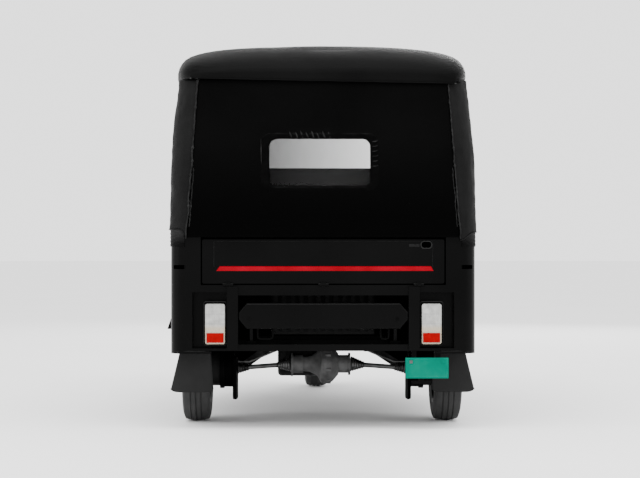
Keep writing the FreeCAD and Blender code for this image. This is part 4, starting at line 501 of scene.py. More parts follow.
# Each finish has its name, two colours, roughness, patch scale, specular level and reliefs
M = {
    "body_paint": finish_of("body_paint", 0.0008, 0.0018, (0.2, 0.34), 2.2, 0.04, ("noise", 45, 0.0002),
                            ("noise", 2.2, 0.006)),
    "frame_paint": finish_of("frame_paint", 0.0006, 0.0018, (0.4, 0.62), 9, 0.03, ("noise", 160, 0.0002)),
    "hood_cloth": finish_of("hood_vinyl", 0.0016, 0.0030, (0.42, 0.56), 2.5, 0.024, vinyl_grain,
                            ("noise", 7, 0.003)),
    # The curtain's vinyl darkens from 1.3 m down to 0.95 m: painted shade toward its foot.
    "curtain_cloth": fade_colour(finish_of("curtain_vinyl", 0.0006, 0.0013, (0.45, 0.6), 2.5, 0.014,
                                           vinyl_grain, ("noise", 6, 0.002)), "Z", 1.3, 0.95, 0.0001),
    "flap_cloth": finish_of("flap_vinyl", 0.0020, 0.0044, (0.45, 0.62), 5, 0.058, vinyl_grain,
                            ("noise", 11, 0.004)),
    "band_cloth": fade_colour(finish_of("band_vinyl", 0.009, 0.02, (0.4, 0.55), 16, 0.03, vinyl_grain),
                              "Z", 0.880, 0.826, 0.0008),
    "welt_vinyl": finish_of("welt_vinyl", 0.0001, 0.0007, (0.3, 0.42), 22, 0.022, ("noise", 60, 0.002)),
    # The seams and the curtain's folds are lighter than its vinyl: painted highlight.
    "seam_fold_painted_highlight": finish_of("seam_fold_painted_highlight_vinyl", 0.0016, 0.013, (0.4, 0.55), 38, 0.06),
    # A rougher copy of the frame paint for the parts under the body; its darker colour is painted shade.
    "underside_shaded_paint": finish_of("underside_shaded_paint", 0.0004, 0.0014, (0.5, 0.75), 14, 0.02, ("noise", 120, 0.0004)),
    # Near-black sheets in the latch recess and the corner slots: painted shade.
    "shade_sheet": finish_of("painted_recess_shade", 0.0001, 0.0003, (0.8, 0.9), 20, 0.0),
    "window_film": window_film(),
    "glass": clear_glass(),
    "lamp_clear": fade_colour(ribbed("lamp_clear_plastic", (0.25, 0.25, 0.24), (0.42, 0.42, 0.405), 0.22, 45),
                              "Z", 0.468, 0.452, (0.36, 0.31, 0.235)),
    "lamp_line": finish_of("lamp_line_plastic", 0.16, 0.24, (0.3, 0.4), 40, 0.3),
    "gasket": finish_of("gasket_rubber", 0.0006, 0.0014, (0.6, 0.8), 50, 0.02),
    "lamp_red": ribbed("lamp_red_plastic", (0.19, 0.0, 0.001), (0.27, 0.0, 0.003), 0.3, 60, 0.01),
    "lamp_amber": ribbed("lamp_amber_plastic", (0.4, 0.09, 0.0), (0.5, 0.14, 0.003), 0.2, 60, 0.2),
    "black_plastic": finish_of("black_plastic", 0.0025, 0.005, (0.5, 0.66), 12, 0.07,
                               ("noise", 420, 0.0003)),
    "seat_cover": finish_of("seat_leathercloth", 0.0015, 0.004, (0.38, 0.55), 5, 0.06,
                            ("cells", 330, 0.0007), ("noise", 12, 0.002)),
    "motor_black": finish_of("motor_paint", 0.003, 0.010, (0.38, 0.6), 20, 0.12, ("noise", 130, 0.0005)),
    "cast_grey": finish_of("cast_alloy", 0.03, 0.09, (0.45, 0.65), 18, 0.3, ("noise", 210, 0.0007)),
    "steel": finish_of("worn_steel", 0.03, 0.12, (0.3, 0.55), 26, 0.5, ("noise", 150, 0.0003),
                       metallic=0.9),
    "wheel_paint": finish_of("wheel_paint", 0.004, 0.012, (0.4, 0.65), 10, 0.1, ("noise", 60, 0.0004)),
    "tyre": finish_of("tyre_rubber", 0.014, 0.031, (0.7, 0.92), 14, 0.2, ("noise", 90, 0.0008),
                      ("noise", 500, 0.0003)),
    "rubber": finish_of("flap_rubber", 0.006, 0.014, (0.55, 0.75), 6, 0.1, ("noise", 200, 0.0004),
                        ("noise", 12, 0.002)),
    "plate_green": finish_of("plate_green", (0.0, 0.105, 0.068), (0.0, 0.145, 0.095), (0.35, 0.5), 9, 0.02,
                             ("noise", 30, 0.0006)),
    "stripe_red": finish_of("stripe_red", (0.17, 0.0, 0.004), (0.23, 0.0, 0.008), (0.35, 0.45), 12, 0.02),
    # Short pieces at both ends of the rear hem, lighter than the hood's vinyl.
    "hem_end": finish_of("light_hem_end_vinyl", 0.004, 0.034, (0.45, 0.6), 60, 0.06),
    # Lighter latch rim and tab ribs: painted highlight on their edges.
    "latch_painted_highlight": finish_of("latch_painted_highlight", 0.005, 0.014, (0.35, 0.5), 60, 0.08),
    # Lighter than the body paint: painted highlight along the tailgate's pressed lines.
    "bead_lines_painted_highlight": finish_of("bead_lines_painted_highlight", 0.0018, 0.005, (0.3, 0.45), 40, 0.07),
    "reflector": finish_of("headlamp_reflector", 0.32, 0.42, (0.12, 0.2), 20, 0.5, ("waves", 14, 0.002),
                           metallic=1),
    "flute_glass": finish_of("flute_glass", 0.25, 0.35, (0.1, 0.2), 20, 0.5),
    "mirror_glass": finish_of("mirror_glass", 0.8, 0.85, (0.02, 0.04), 3, 0.5, metallic=1),
    "floor": finish_of("studio_floor", 0.86, 0.88, (0.8, 0.9), 1, 0.1),
}


# Mesh helpers

def between(low, high, share):
    """The number at a share of the way from low to high."""
    return low + (high - low) * share


def hump(distance, width):
    """A number that falls from 1 toward 0 over a width."""
    return exp(-(distance / width) ** 2)


def place(obj, material, body="body", smooth=True):
    """Puts a new object in the scene, with its material, on a body."""
    bpy.context.scene.collection.objects.link(obj)
    obj.data.materials.append(M[material])
    if smooth and obj.type == "MESH":
        obj.data.polygons.foreach_set("use_smooth", [True] * len(obj.data.polygons))
    if body:
        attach(obj, body)
    return obj


def mesh_piece(name, points, faces, material, body="body", smooth=True):
    """A mesh object from points and faces."""
    mesh = bpy.data.meshes.new(name)
    mesh.from_pydata([tuple(p) for p in points], [], faces)
    mesh.update()
    return place(bpy.data.objects.new(name, mesh), material, body, smooth)


def grid_piece(name, rows, material, body="body", wrap=False):
    """A sheet through rows of points. Wrap joins each row's end to its start."""
    across = len(rows[0])
    points = [p for row in rows for p in row]
    faces = []
    for j in range(len(rows) - 1):
        for i in range(across if wrap else across - 1):
            after = (i + 1) % across
            faces.append((j * across + i, j * across + after,
                          (j + 1) * across + after, (j + 1) * across + i))
    return mesh_piece(name, points, faces, material, body)


def sheet_rows(wide, tall, point_at):
    """Rows of points from the shares across and up a sheet."""
    return [[point_at(i / wide, j / tall) for i in range(wide + 1)] for j in range(tall + 1)]


def thicken(obj, thickness, offset=-1):
    """Gives a sheet its thickness."""
    mod = obj.modifiers.new("thickness", "SOLIDIFY")
    mod.thickness, mod.offset = thickness, offset
    return obj


def tube(name, points, radius, material, body="body", closed=False, smooth=True, widths=None):
    """A round bar or piping along a line of points. Widths scale its radius at each one."""
    curve = bpy.data.curves.new(name, "CURVE")
    curve.dimensions = "3D"
    curve.bevel_depth, curve.bevel_resolution, curve.use_fill_caps = radius, 3, True
    spline = curve.splines.new("NURBS" if smooth else "POLY")
    spline.points.add(len(points) - 1)
    for slot, point, width in zip(spline.points, points, widths or [1] * len(points)):
        slot.co, slot.radius = (*point, 1), width
    spline.use_cyclic_u = closed
    if smooth:
        spline.order_u = 3
        spline.use_endpoint_u = not closed
    return place(bpy.data.objects.new(name, curve), material, body)


def hood_line(name, points, radius, material="hood_cloth", widths=None):
    """A hem, seam or fold of the hood."""
    tube(name, points, radius, material, widths=widths)


def slab(name, outline, push, material, body="body", edge=0.001):
    """A flat outline pushed along a vector, with softened edges."""
    count = len(outline)
    points = list(outline) + [p + push for p in outline]
    faces = [tuple(range(count))[::-1], tuple(range(count, 2 * count))]
    faces += [(i, (i + 1) % count, (i + 1) % count + count, i + count) for i in range(count)]
    obj = mesh_piece(name, points, faces, material, body, smooth=False)
    mesh = bmesh.new()
    mesh.from_mesh(obj.data)
    bmesh.ops.recalc_face_normals(mesh, faces=mesh.faces)
    mesh.to_mesh(obj.data)
    mesh.free()
    mod = obj.modifiers.new("edges", "BEVEL")
    mod.width, mod.segments, mod.limit_method = edge, 3, "ANGLE"


def turned(name, profile, foot, along, material, body="body", steps=32):
    """Pairs of distance and radius turned about an axis."""
    turn = UP.rotation_difference(along).to_matrix()
    angles = [2 * pi * k / steps for k in range(steps)]
    rows = [[foot + turn @ V((radius * cos(a), radius * sin(a), distance)) for a in angles]
            for distance, radius in profile]
    obj = grid_piece(name, rows, material, body, wrap=True)
    mod = obj.modifiers.new("edges", "EDGE_SPLIT")
    mod.split_angle = radians(40)
    return obj


def rod_profile(length, radius):
    """The profile of a plain round bar."""
    return [(0, 0), (0, radius), (length, radius), (length, 0)]


def rounded_rectangle(low_x, high_x, low_z, high_z, corner, y_of, steps=8):
    """Points round a rectangle with round corners, in a leaning plane."""
    points = []
    for cx, cz, start in ((high_x - corner, low_z + corner, -90), (high_x - corner, high_z - corner, 0),
                          (low_x + corner, high_z - corner, 90), (low_x + corner, low_z + corner, 180)):
        for k in range(steps + 1):
            a = radians(start + 90 * k / steps)
            x, z = cx + corner * cos(a), cz + corner * sin(a)
            points.append(V((x, y_of(z), z)))
    return points


def divisions(outline, pitch):
    """Marks along a closed outline about a pitch apart: two neighbours and the share between them."""
    marks = []
    for k, point in enumerate(outline):
        after = (k + 1) % len(outline)
        parts = max(1, round((outline[after] - point).length / pitch))
        marks += [(k, after, n / parts) for n in range(parts)]
    return marks


def wander(x, y, z):
    """A smooth random number from -1 to 1 at a point."""
    return noise.noise(V((x, y, z)))


def ripple(point, size, seed=0):
    """A smooth random number from -1 to 1 that changes over a distance of about size."""
    return noise.noise(point / size + V((seed, seed, seed)))


@cache
def surface_of(node):
    """A tree for shooting rays at a CAD node."""
    mesh = frame["nodes"][node].data
    return BVHTree.FromPolygons([v.co for v in mesh.vertices], [p.vertices for p in mesh.polygons])


def hit_on(node, start, direction):
    """Where a ray first meets a CAD node, if it does."""
    return surface_of(node).ray_cast(start, direction)[0]


def rear_surface_y(node, x, z):
    """The rear face of a CAD node at a place."""
    return hit_on(node, V((x, rear_ray_y, z)), AHEAD).y


def axis_of(node):
    """The middle of a wheel or barrel, seen from the side."""
    low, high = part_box(node)
    return (low.y + high.y) / 2, (low.z + high.z) / 2


def mirrored(point, side):
    """A point of the right side, or its mirror image on the left."""
    return V((side * point.x, point.y, point.z))


def round_corner(side, turn):
    """The direction outward at an angle round a rear corner, from straight back to the side."""
    return V((side * sin(turn), -cos(turn), 0))


# Finishes of the CAD nodes

# The trailing arms and the underframe take the darker copy of the frame paint: painted shade under the body.
own_finish = {"bumper_bolts": "frame_paint", "trailing_arms": "underside_shaded_paint", "underframe": "underside_shaded_paint"}


def dress_nodes():
    """Each CAD node takes the finish of its record slot, unless own_finish gives it another."""
    slot_of = {part["node"]: part["material_slot"] for part in frame["record"]["subparts"]}
    for name, obj in frame["nodes"].items():
        obj.data.materials.clear()
        obj.data.materials.append(M[own_finish.get(name, slot_of[name])])


# Hood

def roof_point(y, turn):
    """A point of the roof's cloth, with its slack between the bows and its creases."""
    out = V((sin(turn), 0, cos(turn)))
    hit = hit_on("hood_roof", V((0, y, hem_z)) + out * roof_ray, -out)
    lift = cos(turn)
    slack = roof_sag * min(1, min(abs(y - bow) for bow in bow_ys) / roof_sag_reach) ** 1.5
    shoulder = left_shoulder_draw * hump(turn - left_shoulder_turn, left_shoulder_spread)
    crease = roof_crease * ripple(hit, roof_crease_size) * (0.3 + 0.7 * (1 - lift))
    draw = roof_draw * (1 - lift) ** 1.5
    return hit - out * (cloth_gap + slack * lift + abs(crease) + draw + shoulder)


def roof_cloth():
    """The roof's cloth over its bows, with its lowered hems."""
    along, across = 110, 96
    rows = []
    for j in range(along + 1):
        y = between(roof_front_y, roof_back_y, j / along)
        y = min(max(y, roof_back_y + 0.002), roof_front_y - 0.001)
        turns = [radians(-roof_turn_deg + 2 * roof_turn_deg * i / across) for i in range(across + 1)]
        rows.append([roof_point(y, turn) for turn in turns])
    last = rows[-1]
    slope = (hem_right_z - hem_left_z) / (last[-1].x - last[0].x)
    for drop in (0.4, 0.75, 1):
        row = []
        for p in last:
            foot = hem_left_z + slope * (p.x - last[0].x) + hem_wave * ripple(p, 0.05, 4)
            row.append(V((p.x, roof_back_y - hem_back * drop, between(p.z, foot, drop))))
        rows.append(row)
    for row in rows[:-3]:
        back = min(1, max(0, (skirt_start_y - row[0].y) / skirt_reach))
        row[:] = [row[0] + V((-skirt_out * back, 0, -skirt_foot - skirt_left * back)), *row,
                  row[-1] + V((skirt_out * back, 0, -skirt_foot - skirt_right * back))]
    for row in rows[-3:]:
        row[:] = [row[0], *row, row[-1]]
    cloth = thicken(grid_piece("roof_cloth", rows, "hood_cloth"), cloth_thick)
    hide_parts("hood_roof")
    for name, index in (("left", 0), ("right", -1)):
        hood_line("roof_hem_" + name, [row[index] + UP * 0.004 for row in rows[:-3:3]], hem_line_radius)
    rear = [p + V((0, -0.002, 0.003)) for p in rows[-1]]
    hood_line("roof_hem_rear", rear[::2], hem_line_radius)
    for side, name in SIDES:
        # Lighter pieces at both ends of the rear hem, ragged in width.
        end = [p + V((0, -0.0025, hem_end_lift)) for p in rear if p.x * side > hem_end_x]
        widths = [0.5 + 2.2 * wander(side, 3, p.x * 45) ** 2 for p in end]
        hood_line("roof_hem_end_" + name, end, hem_end_radius, "hem_end", widths)
    hood_line("roof_hem_front", [p + AHEAD * 0.001 for p in rows[0][::2]], piping_radius)


def curtain_share(z):
    """How far up the curtain a height is, from 0 to 1."""
    return (z - curtain_foot_z) / (hem_z - curtain_foot_z)


def curtain_y(z):
    """The curtain's outer face at a height."""
    return between(curtain_foot_y, curtain_head_y, curtain_share(z))


def curtain_half(z):
    """The curtain's half width at a height."""
    return between(curtain_foot_half, curtain_head_half, curtain_share(z))


def curtain_relief(x, z):
    """How far the curtain's cloth stands back from its plane, in folds and puckers."""
    ray = V((x, 0, z)) - window_centre
    reach = max(abs(ray.x) - window_half, abs(ray.z) - window_half_z, 0)
    tension = hump(reach, 0.05) * 0.5 * (1 + wander(atan2(ray.z, ray.x) * 9, 0, 3))
    drape = 0.5 + 0.5 * ripple(V((x * 2.2, 0, z * 0.7)), 0.3, 5)
    edge = curtain_half(z) - abs(x)
    gather = hump(edge, 0.03) * ripple(V((x, 0, z)), 0.016, 9)
    return curtain_crease * (0.9 * tension + drape) + seam_pucker * (1 + gather) * 0.5 - pleats(x, z)


def pleats(x, z):
    """The pleats over the window and the puckers at its right end."""
    over = max(0, 1 - abs(z - window_high_z - welt_top * 0.6) / welt_top)
    beside = max(0, 1 - abs(x - window_right_x - welt_side * 0.6) / (welt_side * 0.6))
    upright = over * sin(pi * (x - pleat_low_x) / pleat_pitch) ** 2
    level = beside * sin(pi * (z - pucker_low_z) / pucker_pitch) ** 2
    return pleat_depth * (upright * (pleat_low_x < x < pleat_high_x)
                          + 0.7 * level * (pucker_low_z < z < pucker_high_z))


def window_outline(side, foot, top, corner, y_of, steps=8):
    """The window's outline, widened at its sides, foot and top."""
    return rounded_rectangle(window_left_x - side, window_right_x + side, window_low_z - foot,
                             window_high_z + top, corner, y_of, steps)


def curtain_edge_point(p):
    """The point of the curtain's edge straight out from the window through a point."""
    out = V(((p.x - window_x) / window_half, 0, (p.z - window_centre.z) / window_half_z))
    out /= max(abs(out.x), abs(out.z))
    z = between(curtain_foot_z + 0.001, hem_z - 0.001, (out.z + 1) / 2)
    return V((curtain_half(z) * out.x, 0, z))


def rear_curtain():
    """The curtain round its window, in rings from the window out to its edges."""
    inner = window_outline(0, 0, 0, window_corner, lambda z: 0, 10)
    dense = [inner[k].lerp(inner[after], share) for k, after, share in divisions(inner, 0.012)]
    rings = 44
    rows = []
    for j in range(rings + 1):
        flat = [p.lerp(curtain_edge_point(p), (j / rings) ** 1.25) for p in dense]
        rows.append([V((p.x, curtain_y(p.z) + curtain_relief(p.x, p.z), p.z)) for p in flat])
    cloth = thicken(grid_piece("curtain_cloth", rows, "curtain_cloth", wrap=True), cloth_thick)
    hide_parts("rear_curtain")


def curtain_seams():
    """The puckered seams down both sides of the curtain and its foot hem; the seams' lighter colour is
    painted highlight.
    """
    steps = 130
    for side, name in SIDES:
        for line, (offset, low_z, high_z) in enumerate(seam_lines):
            points, widths = [], []
            for k in range(steps + 1):
                z = between(low_z, high_z, k / steps)
                wave = wander(side, line, z * 14) + 0.5 * wander(side, line, z * 45)
                points.append(V((side * (curtain_half(z) + offset + seam_wave * wave),
                                 curtain_y(z) + seam_back * (wander(side, 4 + line, z * 70) - 1), z)))
                widths.append(0.7 + 2.6 * wander(side, 8 + line, z * 50) ** 2)
            radius = seam_radius * (0.6 if line else 1) * (1 if side < 0 else 0.8)
            hood_line("curtain_seam_" + name + ("_inner" if line else ""), points, radius, "seam_fold_painted_highlight", widths)
    hem = [V((between(-curtain_foot_half, curtain_foot_half, 2 * k / steps),
              curtain_y(curtain_foot_z) + 0.002, curtain_foot_z + 0.004)) for k in range(steps // 2 + 1)]
    hood_line("curtain_foot_hem", hem, piping_radius, "curtain_cloth")


def welt_point(near, far, share):
    """A point of the window's welt between the film's edge and the curtain."""
    p = near.lerp(far, share)
    rise = sin(pi * share)
    crumple = welt_crumple * ripple(p, 0.02, 6) * rise
    return V((p.x, p.y + curtain_relief(p.x, p.z) - 0.001 - welt_lift * rise ** 0.6 - crumple, p.z))


def pane_point(across, up):
    """A point of the window's film, slack inside its edges."""
    x = between(window_left_x, window_right_x, across)
    z = between(window_low_z, window_high_z, up)
    from_edge = min(40 * min(across, 1 - across), 20 * min(up, 1 - up)) / 6
    wave = pane_wave * ripple(V((x, 0, z * 2)), 0.14, 2) * min(1, from_edge)
    return V((x, curtain_y(z) + pane_back + wave, z))


def rear_window():
    """The clear film and the gathered welt sewn round it."""
    inner = window_outline(0, 0, 0, window_corner, curtain_y)
    outer = window_outline(welt_side, welt_foot, welt_top, window_corner * 1.4, curtain_y)
    dense = [(inner[k].lerp(inner[after], share), outer[k].lerp(outer[after], share))
             for k, after, share in divisions(inner, 0.008)]
    rows = [[welt_point(near, far, j / 8) for near, far in dense] for j in range(9)]
    welt = grid_piece("window_welt", rows, "welt_vinyl", wrap=True)
    window_puckers()
    pane = thicken(grid_piece("window_pane", sheet_rows(40, 20, pane_point), "window_film"), pane_thick)
    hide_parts("rear_window")


def pucker(name, start_x, start_z, end_x, end_z, width):
    """One raised fold of the curtain, thin at its ends, drawn lighter than the cloth as painted highlight."""
    points, widths = [], []
    for k in range(9):
        share = k / 8
        z = between(start_z, end_z, share) + 0.0015 * sin(share * 7 + start_x * 90)
        points.append(V((between(start_x, end_x, share), curtain_y(z) - 0.002, z)))
        widths.append(0.15 + sin(pi * share))
    hood_line(name, points, width, "seam_fold_painted_highlight", widths)


def window_puckers():
    """The gathers over the window, at its right end and down its left, drawn lighter than the cloth as
    painted highlight.
    """
    count = round((pleat_high_x - pleat_low_x) / pleat_pitch * 1.6)
    for k in range(count):
        x = between(pleat_low_x, pleat_high_x, (k + 0.5) / count) + 0.006 * wander(k * 1.7, 2, 0)
        reach = welt_top * (1.05 + 0.35 * wander(k * 2.3, 5, 0))
        pucker("window_pleat_%d" % k, x, window_high_z + 0.003, x - pleat_lean, window_high_z + reach,
               pleat_radius + 0.0015 * wander(k * 3.1, 1, 0))
    for k in range(round((pucker_high_z - pucker_low_z) / pucker_pitch)):
        z = pucker_low_z + pucker_pitch * (k + 0.5)
        start = window_right_x + tuck_gap + 0.004 * wander(k * 1.9, 7, 0)
        pucker("window_tuck_%d" % k, start, z, start + tuck_length, z + tuck_rise, tuck_radius)
    edge = window_left_x - welt_side * 0.8
    pucker("window_fold_left", edge, pucker_low_z + 0.02, edge - 0.002, window_high_z, tuck_radius)


def flap_ray_at(side, z, across, front_y):
    """The foot and the direction of the ray that finds a flap's face, round its corner."""
    x = side * (curtain_half(z) + 0.0005)
    corner_y = curtain_y(z) + flap_corner
    turn = across * flap_turns
    if turn < 1:
        return V((x, corner_y, z)), round_corner(side, radians(90 * turn))
    y = between(corner_y, front_y, (turn - 1) / (flap_turns - 1))
    return V((x, min(y, front_y - 0.001), z)), RIGHT * side


def hood_flaps():
    """The flaps round the rear corners, a little slack and curled at their feet."""
    low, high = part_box("hood_flaps")
    tall, wide = 60, 60
    for side, name in SIDES:
        rows = []
        for j in range(tall + 1):
            z = between(low.z + 0.002, high.z - 0.002, j / tall)
            bulge_share = (z - flap_bulge_low_z) / (flap_bulge_high_z - flap_bulge_low_z)
            bulge = flap_bulge * sin(pi * min(max(bulge_share, 0), 1))
            front_y = between(flap_front_foot_y, flap_front_head_y, j / tall)
            row = []
            for i in range(wide + 1):
                across = i / wide
                foot, out = flap_ray_at(side, z, across, front_y)
                hit = hit_on("hood_flaps", foot + out * flap_ray, -out) or row[-1].copy()
                slack = flap_slack * (1 + ripple(hit, 0.11, side)) + flap_ripple * ripple(hit, 0.03, side)
                seam = flap_ripple * hump(across, 0.05) * ripple(hit, 0.014, 7)
                moved = hit - out * (cloth_gap + slack * min(1, across / 0.1) + seam)
                moved += out * bulge * min(1, across / 0.3)
                dip = flap_foot_dip[side] * hump(across, flap_dip_share[side])
                foot_z = flap_foot_z[side] - dip + flap_hem_wave * ripple(hit, 0.03, 2)
                moved.z = foot_z + (z - low.z) * (high.z - foot_z) / (high.z - low.z)
                row.append(moved)
            rows.append(row)
        cloth = thicken(grid_piece("flap_" + name, rows, "flap_cloth"), cloth_thick, -side)
        if side < 0:
            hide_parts("hood_flaps")
        for part, points in (("foot", rows[0][::2]), ("front", [row[-1] for row in rows[::2]])):
            hood_line("flap_%s_hem_%s" % (name, part), points, piping_radius * 0.8, "flap_cloth")


def band_point(side, across, up):
    """A point of the wrinkled band, on the panel that stands farthest out there."""
    z = between(band_low_z, flap_foot_z[side] + band_tuck, up)
    out = round_corner(side, radians(2 + 88 * min(1, across / band_corner_share)))
    slide = max(0, across - band_corner_share) / (1 - band_corner_share)
    foot = V((side * (curtain_foot_half + band_corner_out), between(band_start_y, band_end_y, slide),
              min(z, curtain_foot_z)))
    hits = [hit_on(node, foot + out * flap_ray, -out) for node in ("rear_panel", "quarter_panels")]
    far = max([(hit - foot).dot(out) for hit in hits if hit], default=band_far)
    wrinkle = sin(2 * pi * z / band_ripple_pitch + 2.5 * ripple(foot + out, 0.2))
    fold = band_ripple * (1 + wrinkle * (0.5 + 0.5 * ripple(foot + out * 0.2, 0.05)))
    return V((*(foot + out * (far + band_gap + fold)).xy, z))


def flap_bands():
    """The wrinkled lower edges of the hood that show between the flaps and the body."""
    for side, name in SIDES:
        rows = sheet_rows(40, 36, partial(band_point, side))
        band = thicken(grid_piece("flap_band_" + name, rows, "band_cloth"), band_thick, 0)


# Seats

def swell(obj, pin_low, cap):
    """Blows a closed mesh up like a stuffed cover, its foot held flat."""
    rest = [v.co.copy() for v in obj.data.vertices]
    group = obj.vertex_groups.new(name="held")
    group.add([v.index for v in obj.data.vertices if v.co.z < pin_low], 1.0, "REPLACE")
    cloth = obj.modifiers.new("stuffing", "CLOTH")
    cloth.settings.quality = 4
    cloth.settings.use_pressure = True
    cloth.settings.uniform_pressure_force = 4
    cloth.settings.effector_weights.gravity = 0
    cloth.settings.vertex_group_mass = "held"
    scene = bpy.context.scene
    for step in range(1, 21):
        scene.frame_set(step)
    graph = bpy.context.evaluated_depsgraph_get()
    moved = [v.co.copy() for v in obj.evaluated_get(graph).data.vertices]
    obj.modifiers.clear()
    scene.frame_set(1)
    for vertex, start, end in zip(obj.data.vertices, rest, moved):
        step = end - start
        if step.length > cap:
            step = step.normalized() * cap
        vertex.co = start + step


def cushion(node, voxel, cap, channels, face, rise=cushion_over):
    """A stuffed seat piece from its CAD solid, with sewn channels on the side that faces out."""
    low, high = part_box(node)
    centre, size = (low + high) / 2, high - low
    piece = bpy.data.objects.new(node + "_cushion", frame["nodes"][node].data.copy())
    place(piece, "seat_cover", None)
    for vertex in piece.data.vertices:
        vertex.co = V(((vertex.co.x - centre.x) * cushion_shrink + centre.x,
                       (vertex.co.y - centre.y) * cushion_shrink + centre.y,
                       (vertex.co.z - low.z) * (cushion_shrink + 2.2 * rise / size.z) + low.z))
    mod = piece.modifiers.new("remesh", "REMESH")
    mod.mode, mod.voxel_size, mod.use_smooth_shade = "VOXEL", voxel, True
    graph = bpy.context.evaluated_depsgraph_get()
    piece.data = bpy.data.meshes.new_from_object(piece.evaluated_get(graph))
    piece.data.name = node + "_cushion"
    piece.modifiers.clear()
    piece.data.materials.clear()
    piece.data.materials.append(M["seat_cover"])
    swell(piece, low.z + 0.02, cap)
    for vertex in piece.data.vertices:
        co = vertex.co
        for k in range(1, channels):
            line = low.x + size.x * k / channels
            dent = hump(co.x - line, channel_width)
            height = (co - centre).dot(face) / (size / 2).dot(face)
            vertex.co = vertex.co - face * channel_depth * dent * min(1, max(0, (height - 0.2) / 0.4))
        vertex.co.x = min(max(vertex.co.x, low.x - cushion_over), high.x + cushion_over)
        vertex.co.y = min(max(vertex.co.y, low.y - cushion_over), high.y + cushion_over)
        vertex.co.z = min(max(vertex.co.z, low.z), high.z + rise)
    sub = piece.modifiers.new("smooth", "SUBSURF")
    sub.levels = sub.render_levels = 1
    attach(piece, "body")
    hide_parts(node)


def seats():
    """The passengers' bench and the driver's seat."""
    cushion("passenger_seat", 0.012, 0.014, 8, UP)
    cushion("passenger_backrest", 0.012, 0.012, 8, AHEAD, rise=0.012)
    cushion("driver_seat", 0.009, 0.012, 4, UP)
    cushion("driver_backrest", 0.009, 0.010, 4, AHEAD)


# Rear details

def tailgate_stripe():
    """The red stripe across the tailgate, with slanted ends."""
    y = rear_surface_y("tailgate", 0, (stripe_low_z + stripe_high_z) / 2) - stripe_thick
    outline = [V((stripe_left_x, y, stripe_low_z)), V((stripe_right_x, y, stripe_low_z)),
               V((stripe_right_x - stripe_slant * 0.7, y, stripe_high_z)),
               V((stripe_left_x + stripe_slant, y, stripe_high_z))]
    slab("tailgate_stripe", outline, AHEAD * stripe_thick * 1.5, "stripe_red", "tailgate", 0.0003)


def tailgate_beads():
    """The pressed lines at both ends and along the top of the tailgate's field, as thin tubes lighter than
    the body: painted highlight along the lines.
    """
    y = rear_surface_y("tailgate", 0, (field_low_z + field_high_z) / 2)
    left, right = V((-field_half, y, field_high_z)), V((field_half, y, field_high_z))
    drop = UP * (field_high_z - field_low_z + 0.006)
    lines = {"left": [left - drop, left], "right": [right - drop, right], "top": [left, right]}
    for name, line in lines.items():
        tube("tailgate_bead_" + name, line, bead_radius, "bead_lines_painted_highlight", "tailgate", smooth=False)


def latch_trim():
    """The rim of the latch recess and the knurled tab beside it; the rim and the tab's ribs are drawn lighter
    as painted highlight.
    """
    low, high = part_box("tailgate_latch")
    half_z = (high.z - low.z) / 2
    y = rear_surface_y("tailgate", low.x - 0.012, low.z + half_z) - 0.0005
    ring = rounded_rectangle(low.x - latch_rim_left, high.x + latch_rim_right, low.z, high.z, half_z * 0.9,
                             lambda z: y)
    tube("latch_rim", ring, latch_rim_radius, "latch_painted_highlight", "tailgate", closed=True)
    # A near-black sheet in the latch recess: painted shade.
    slab("latch_recess_shade", [p - AHEAD * 0.0006 for p in ring], AHEAD * 0.0012, "shade_sheet", "tailgate", 0.0002)
    tab_y, tab_x = y - tab_proud, low.x - tab_gap
    tab = rounded_rectangle(tab_x - tab_length, tab_x, low.z + tab_low, low.z + tab_high, tab_corner,
                            lambda z: tab_y)
    slab("latch_tab", tab, AHEAD * tab_thick, "black_plastic", "tailgate", 0.0006)
    for k in range(tab_rib_count):
        x = tab_x - tab_rib_inset - (tab_length - 2 * tab_rib_inset) * k / (tab_rib_count - 1)
        rib = [V((x, tab_y, low.z + tab_low + 0.002)), V((x - 0.003, tab_y, low.z + tab_high - 0.002))]
        tube("latch_tab_rib_%d" % k, rib, tab_rib_radius, "latch_painted_highlight", "tailgate", smooth=False)


def slot_shade_sheets():
    """Near-black sheets over the two slots at the corners: painted shade."""
    middle_z = (slot_low_z + slot_high_z) / 2
    for side, name in SIDES:
        xs = [side * between(slot_inner_x, slot_outer_x, k / 20) for k in range(21)]
        rows = [[V((x, rear_surface_y("rear_panel", x, middle_z) - 0.0006, z)) for x in xs]
                for z in (slot_low_z, slot_high_z)]
        grid_piece("slot_shade_sheet_" + name, rows, "shade_sheet")


def body_edges():
    """The folded lower edges of the body at its rear corners."""
    low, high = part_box("rear_panel")
    z = low.z + 0.006
    half = edge_thick / 2
    for side, name in SIDES:
        line = []
        for k in range(9):
            x = side * between(edge_inner_x, corner_foot_x, k / 8)
            line.append(V((x, rear_surface_y("rear_panel", x, z) + half, z)))
        side_y = line[-1].y + 0.12
        for k in range(1, 17):
            out = round_corner(side, radians(90 * k / 16))
            hit = hit_on("rear_panel", V((side * corner_foot_x, corner_foot_y, z)) + out * edge_ray, -out)
            if hit:
                line.append(hit - out * half)
        for k in range(1, 40):
            hit = hit_on("quarter_panels", V((side, side_y + 0.01 * k, z)), -RIGHT * side)
            if hit is None or abs(hit.x) < high.x - 0.004:
                break
            line.append(V((side * (high.x - half), hit.y, z)))
        rows = [[V((p.x, p.y, level)) for p in line] for level in (edge_foot_z, low.z + 0.001)]
        thicken(grid_piece("body_edge_" + name, rows, "body_paint"), edge_thick, 0)


def strap_hook():
    """The hook for the hood's strap on the left side panel."""
    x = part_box("rear_panel")[0].x
    top = hook_z + hook_height
    outline = [V((x + hook_root, hook_y, hook_z)), V((x - hook_proud, hook_y, hook_z)), V((x, hook_y, top)),
               V((x + hook_root, hook_y, top))]
    slab("strap_hook", outline, AHEAD * hook_width, "frame_paint", edge=0.0015)


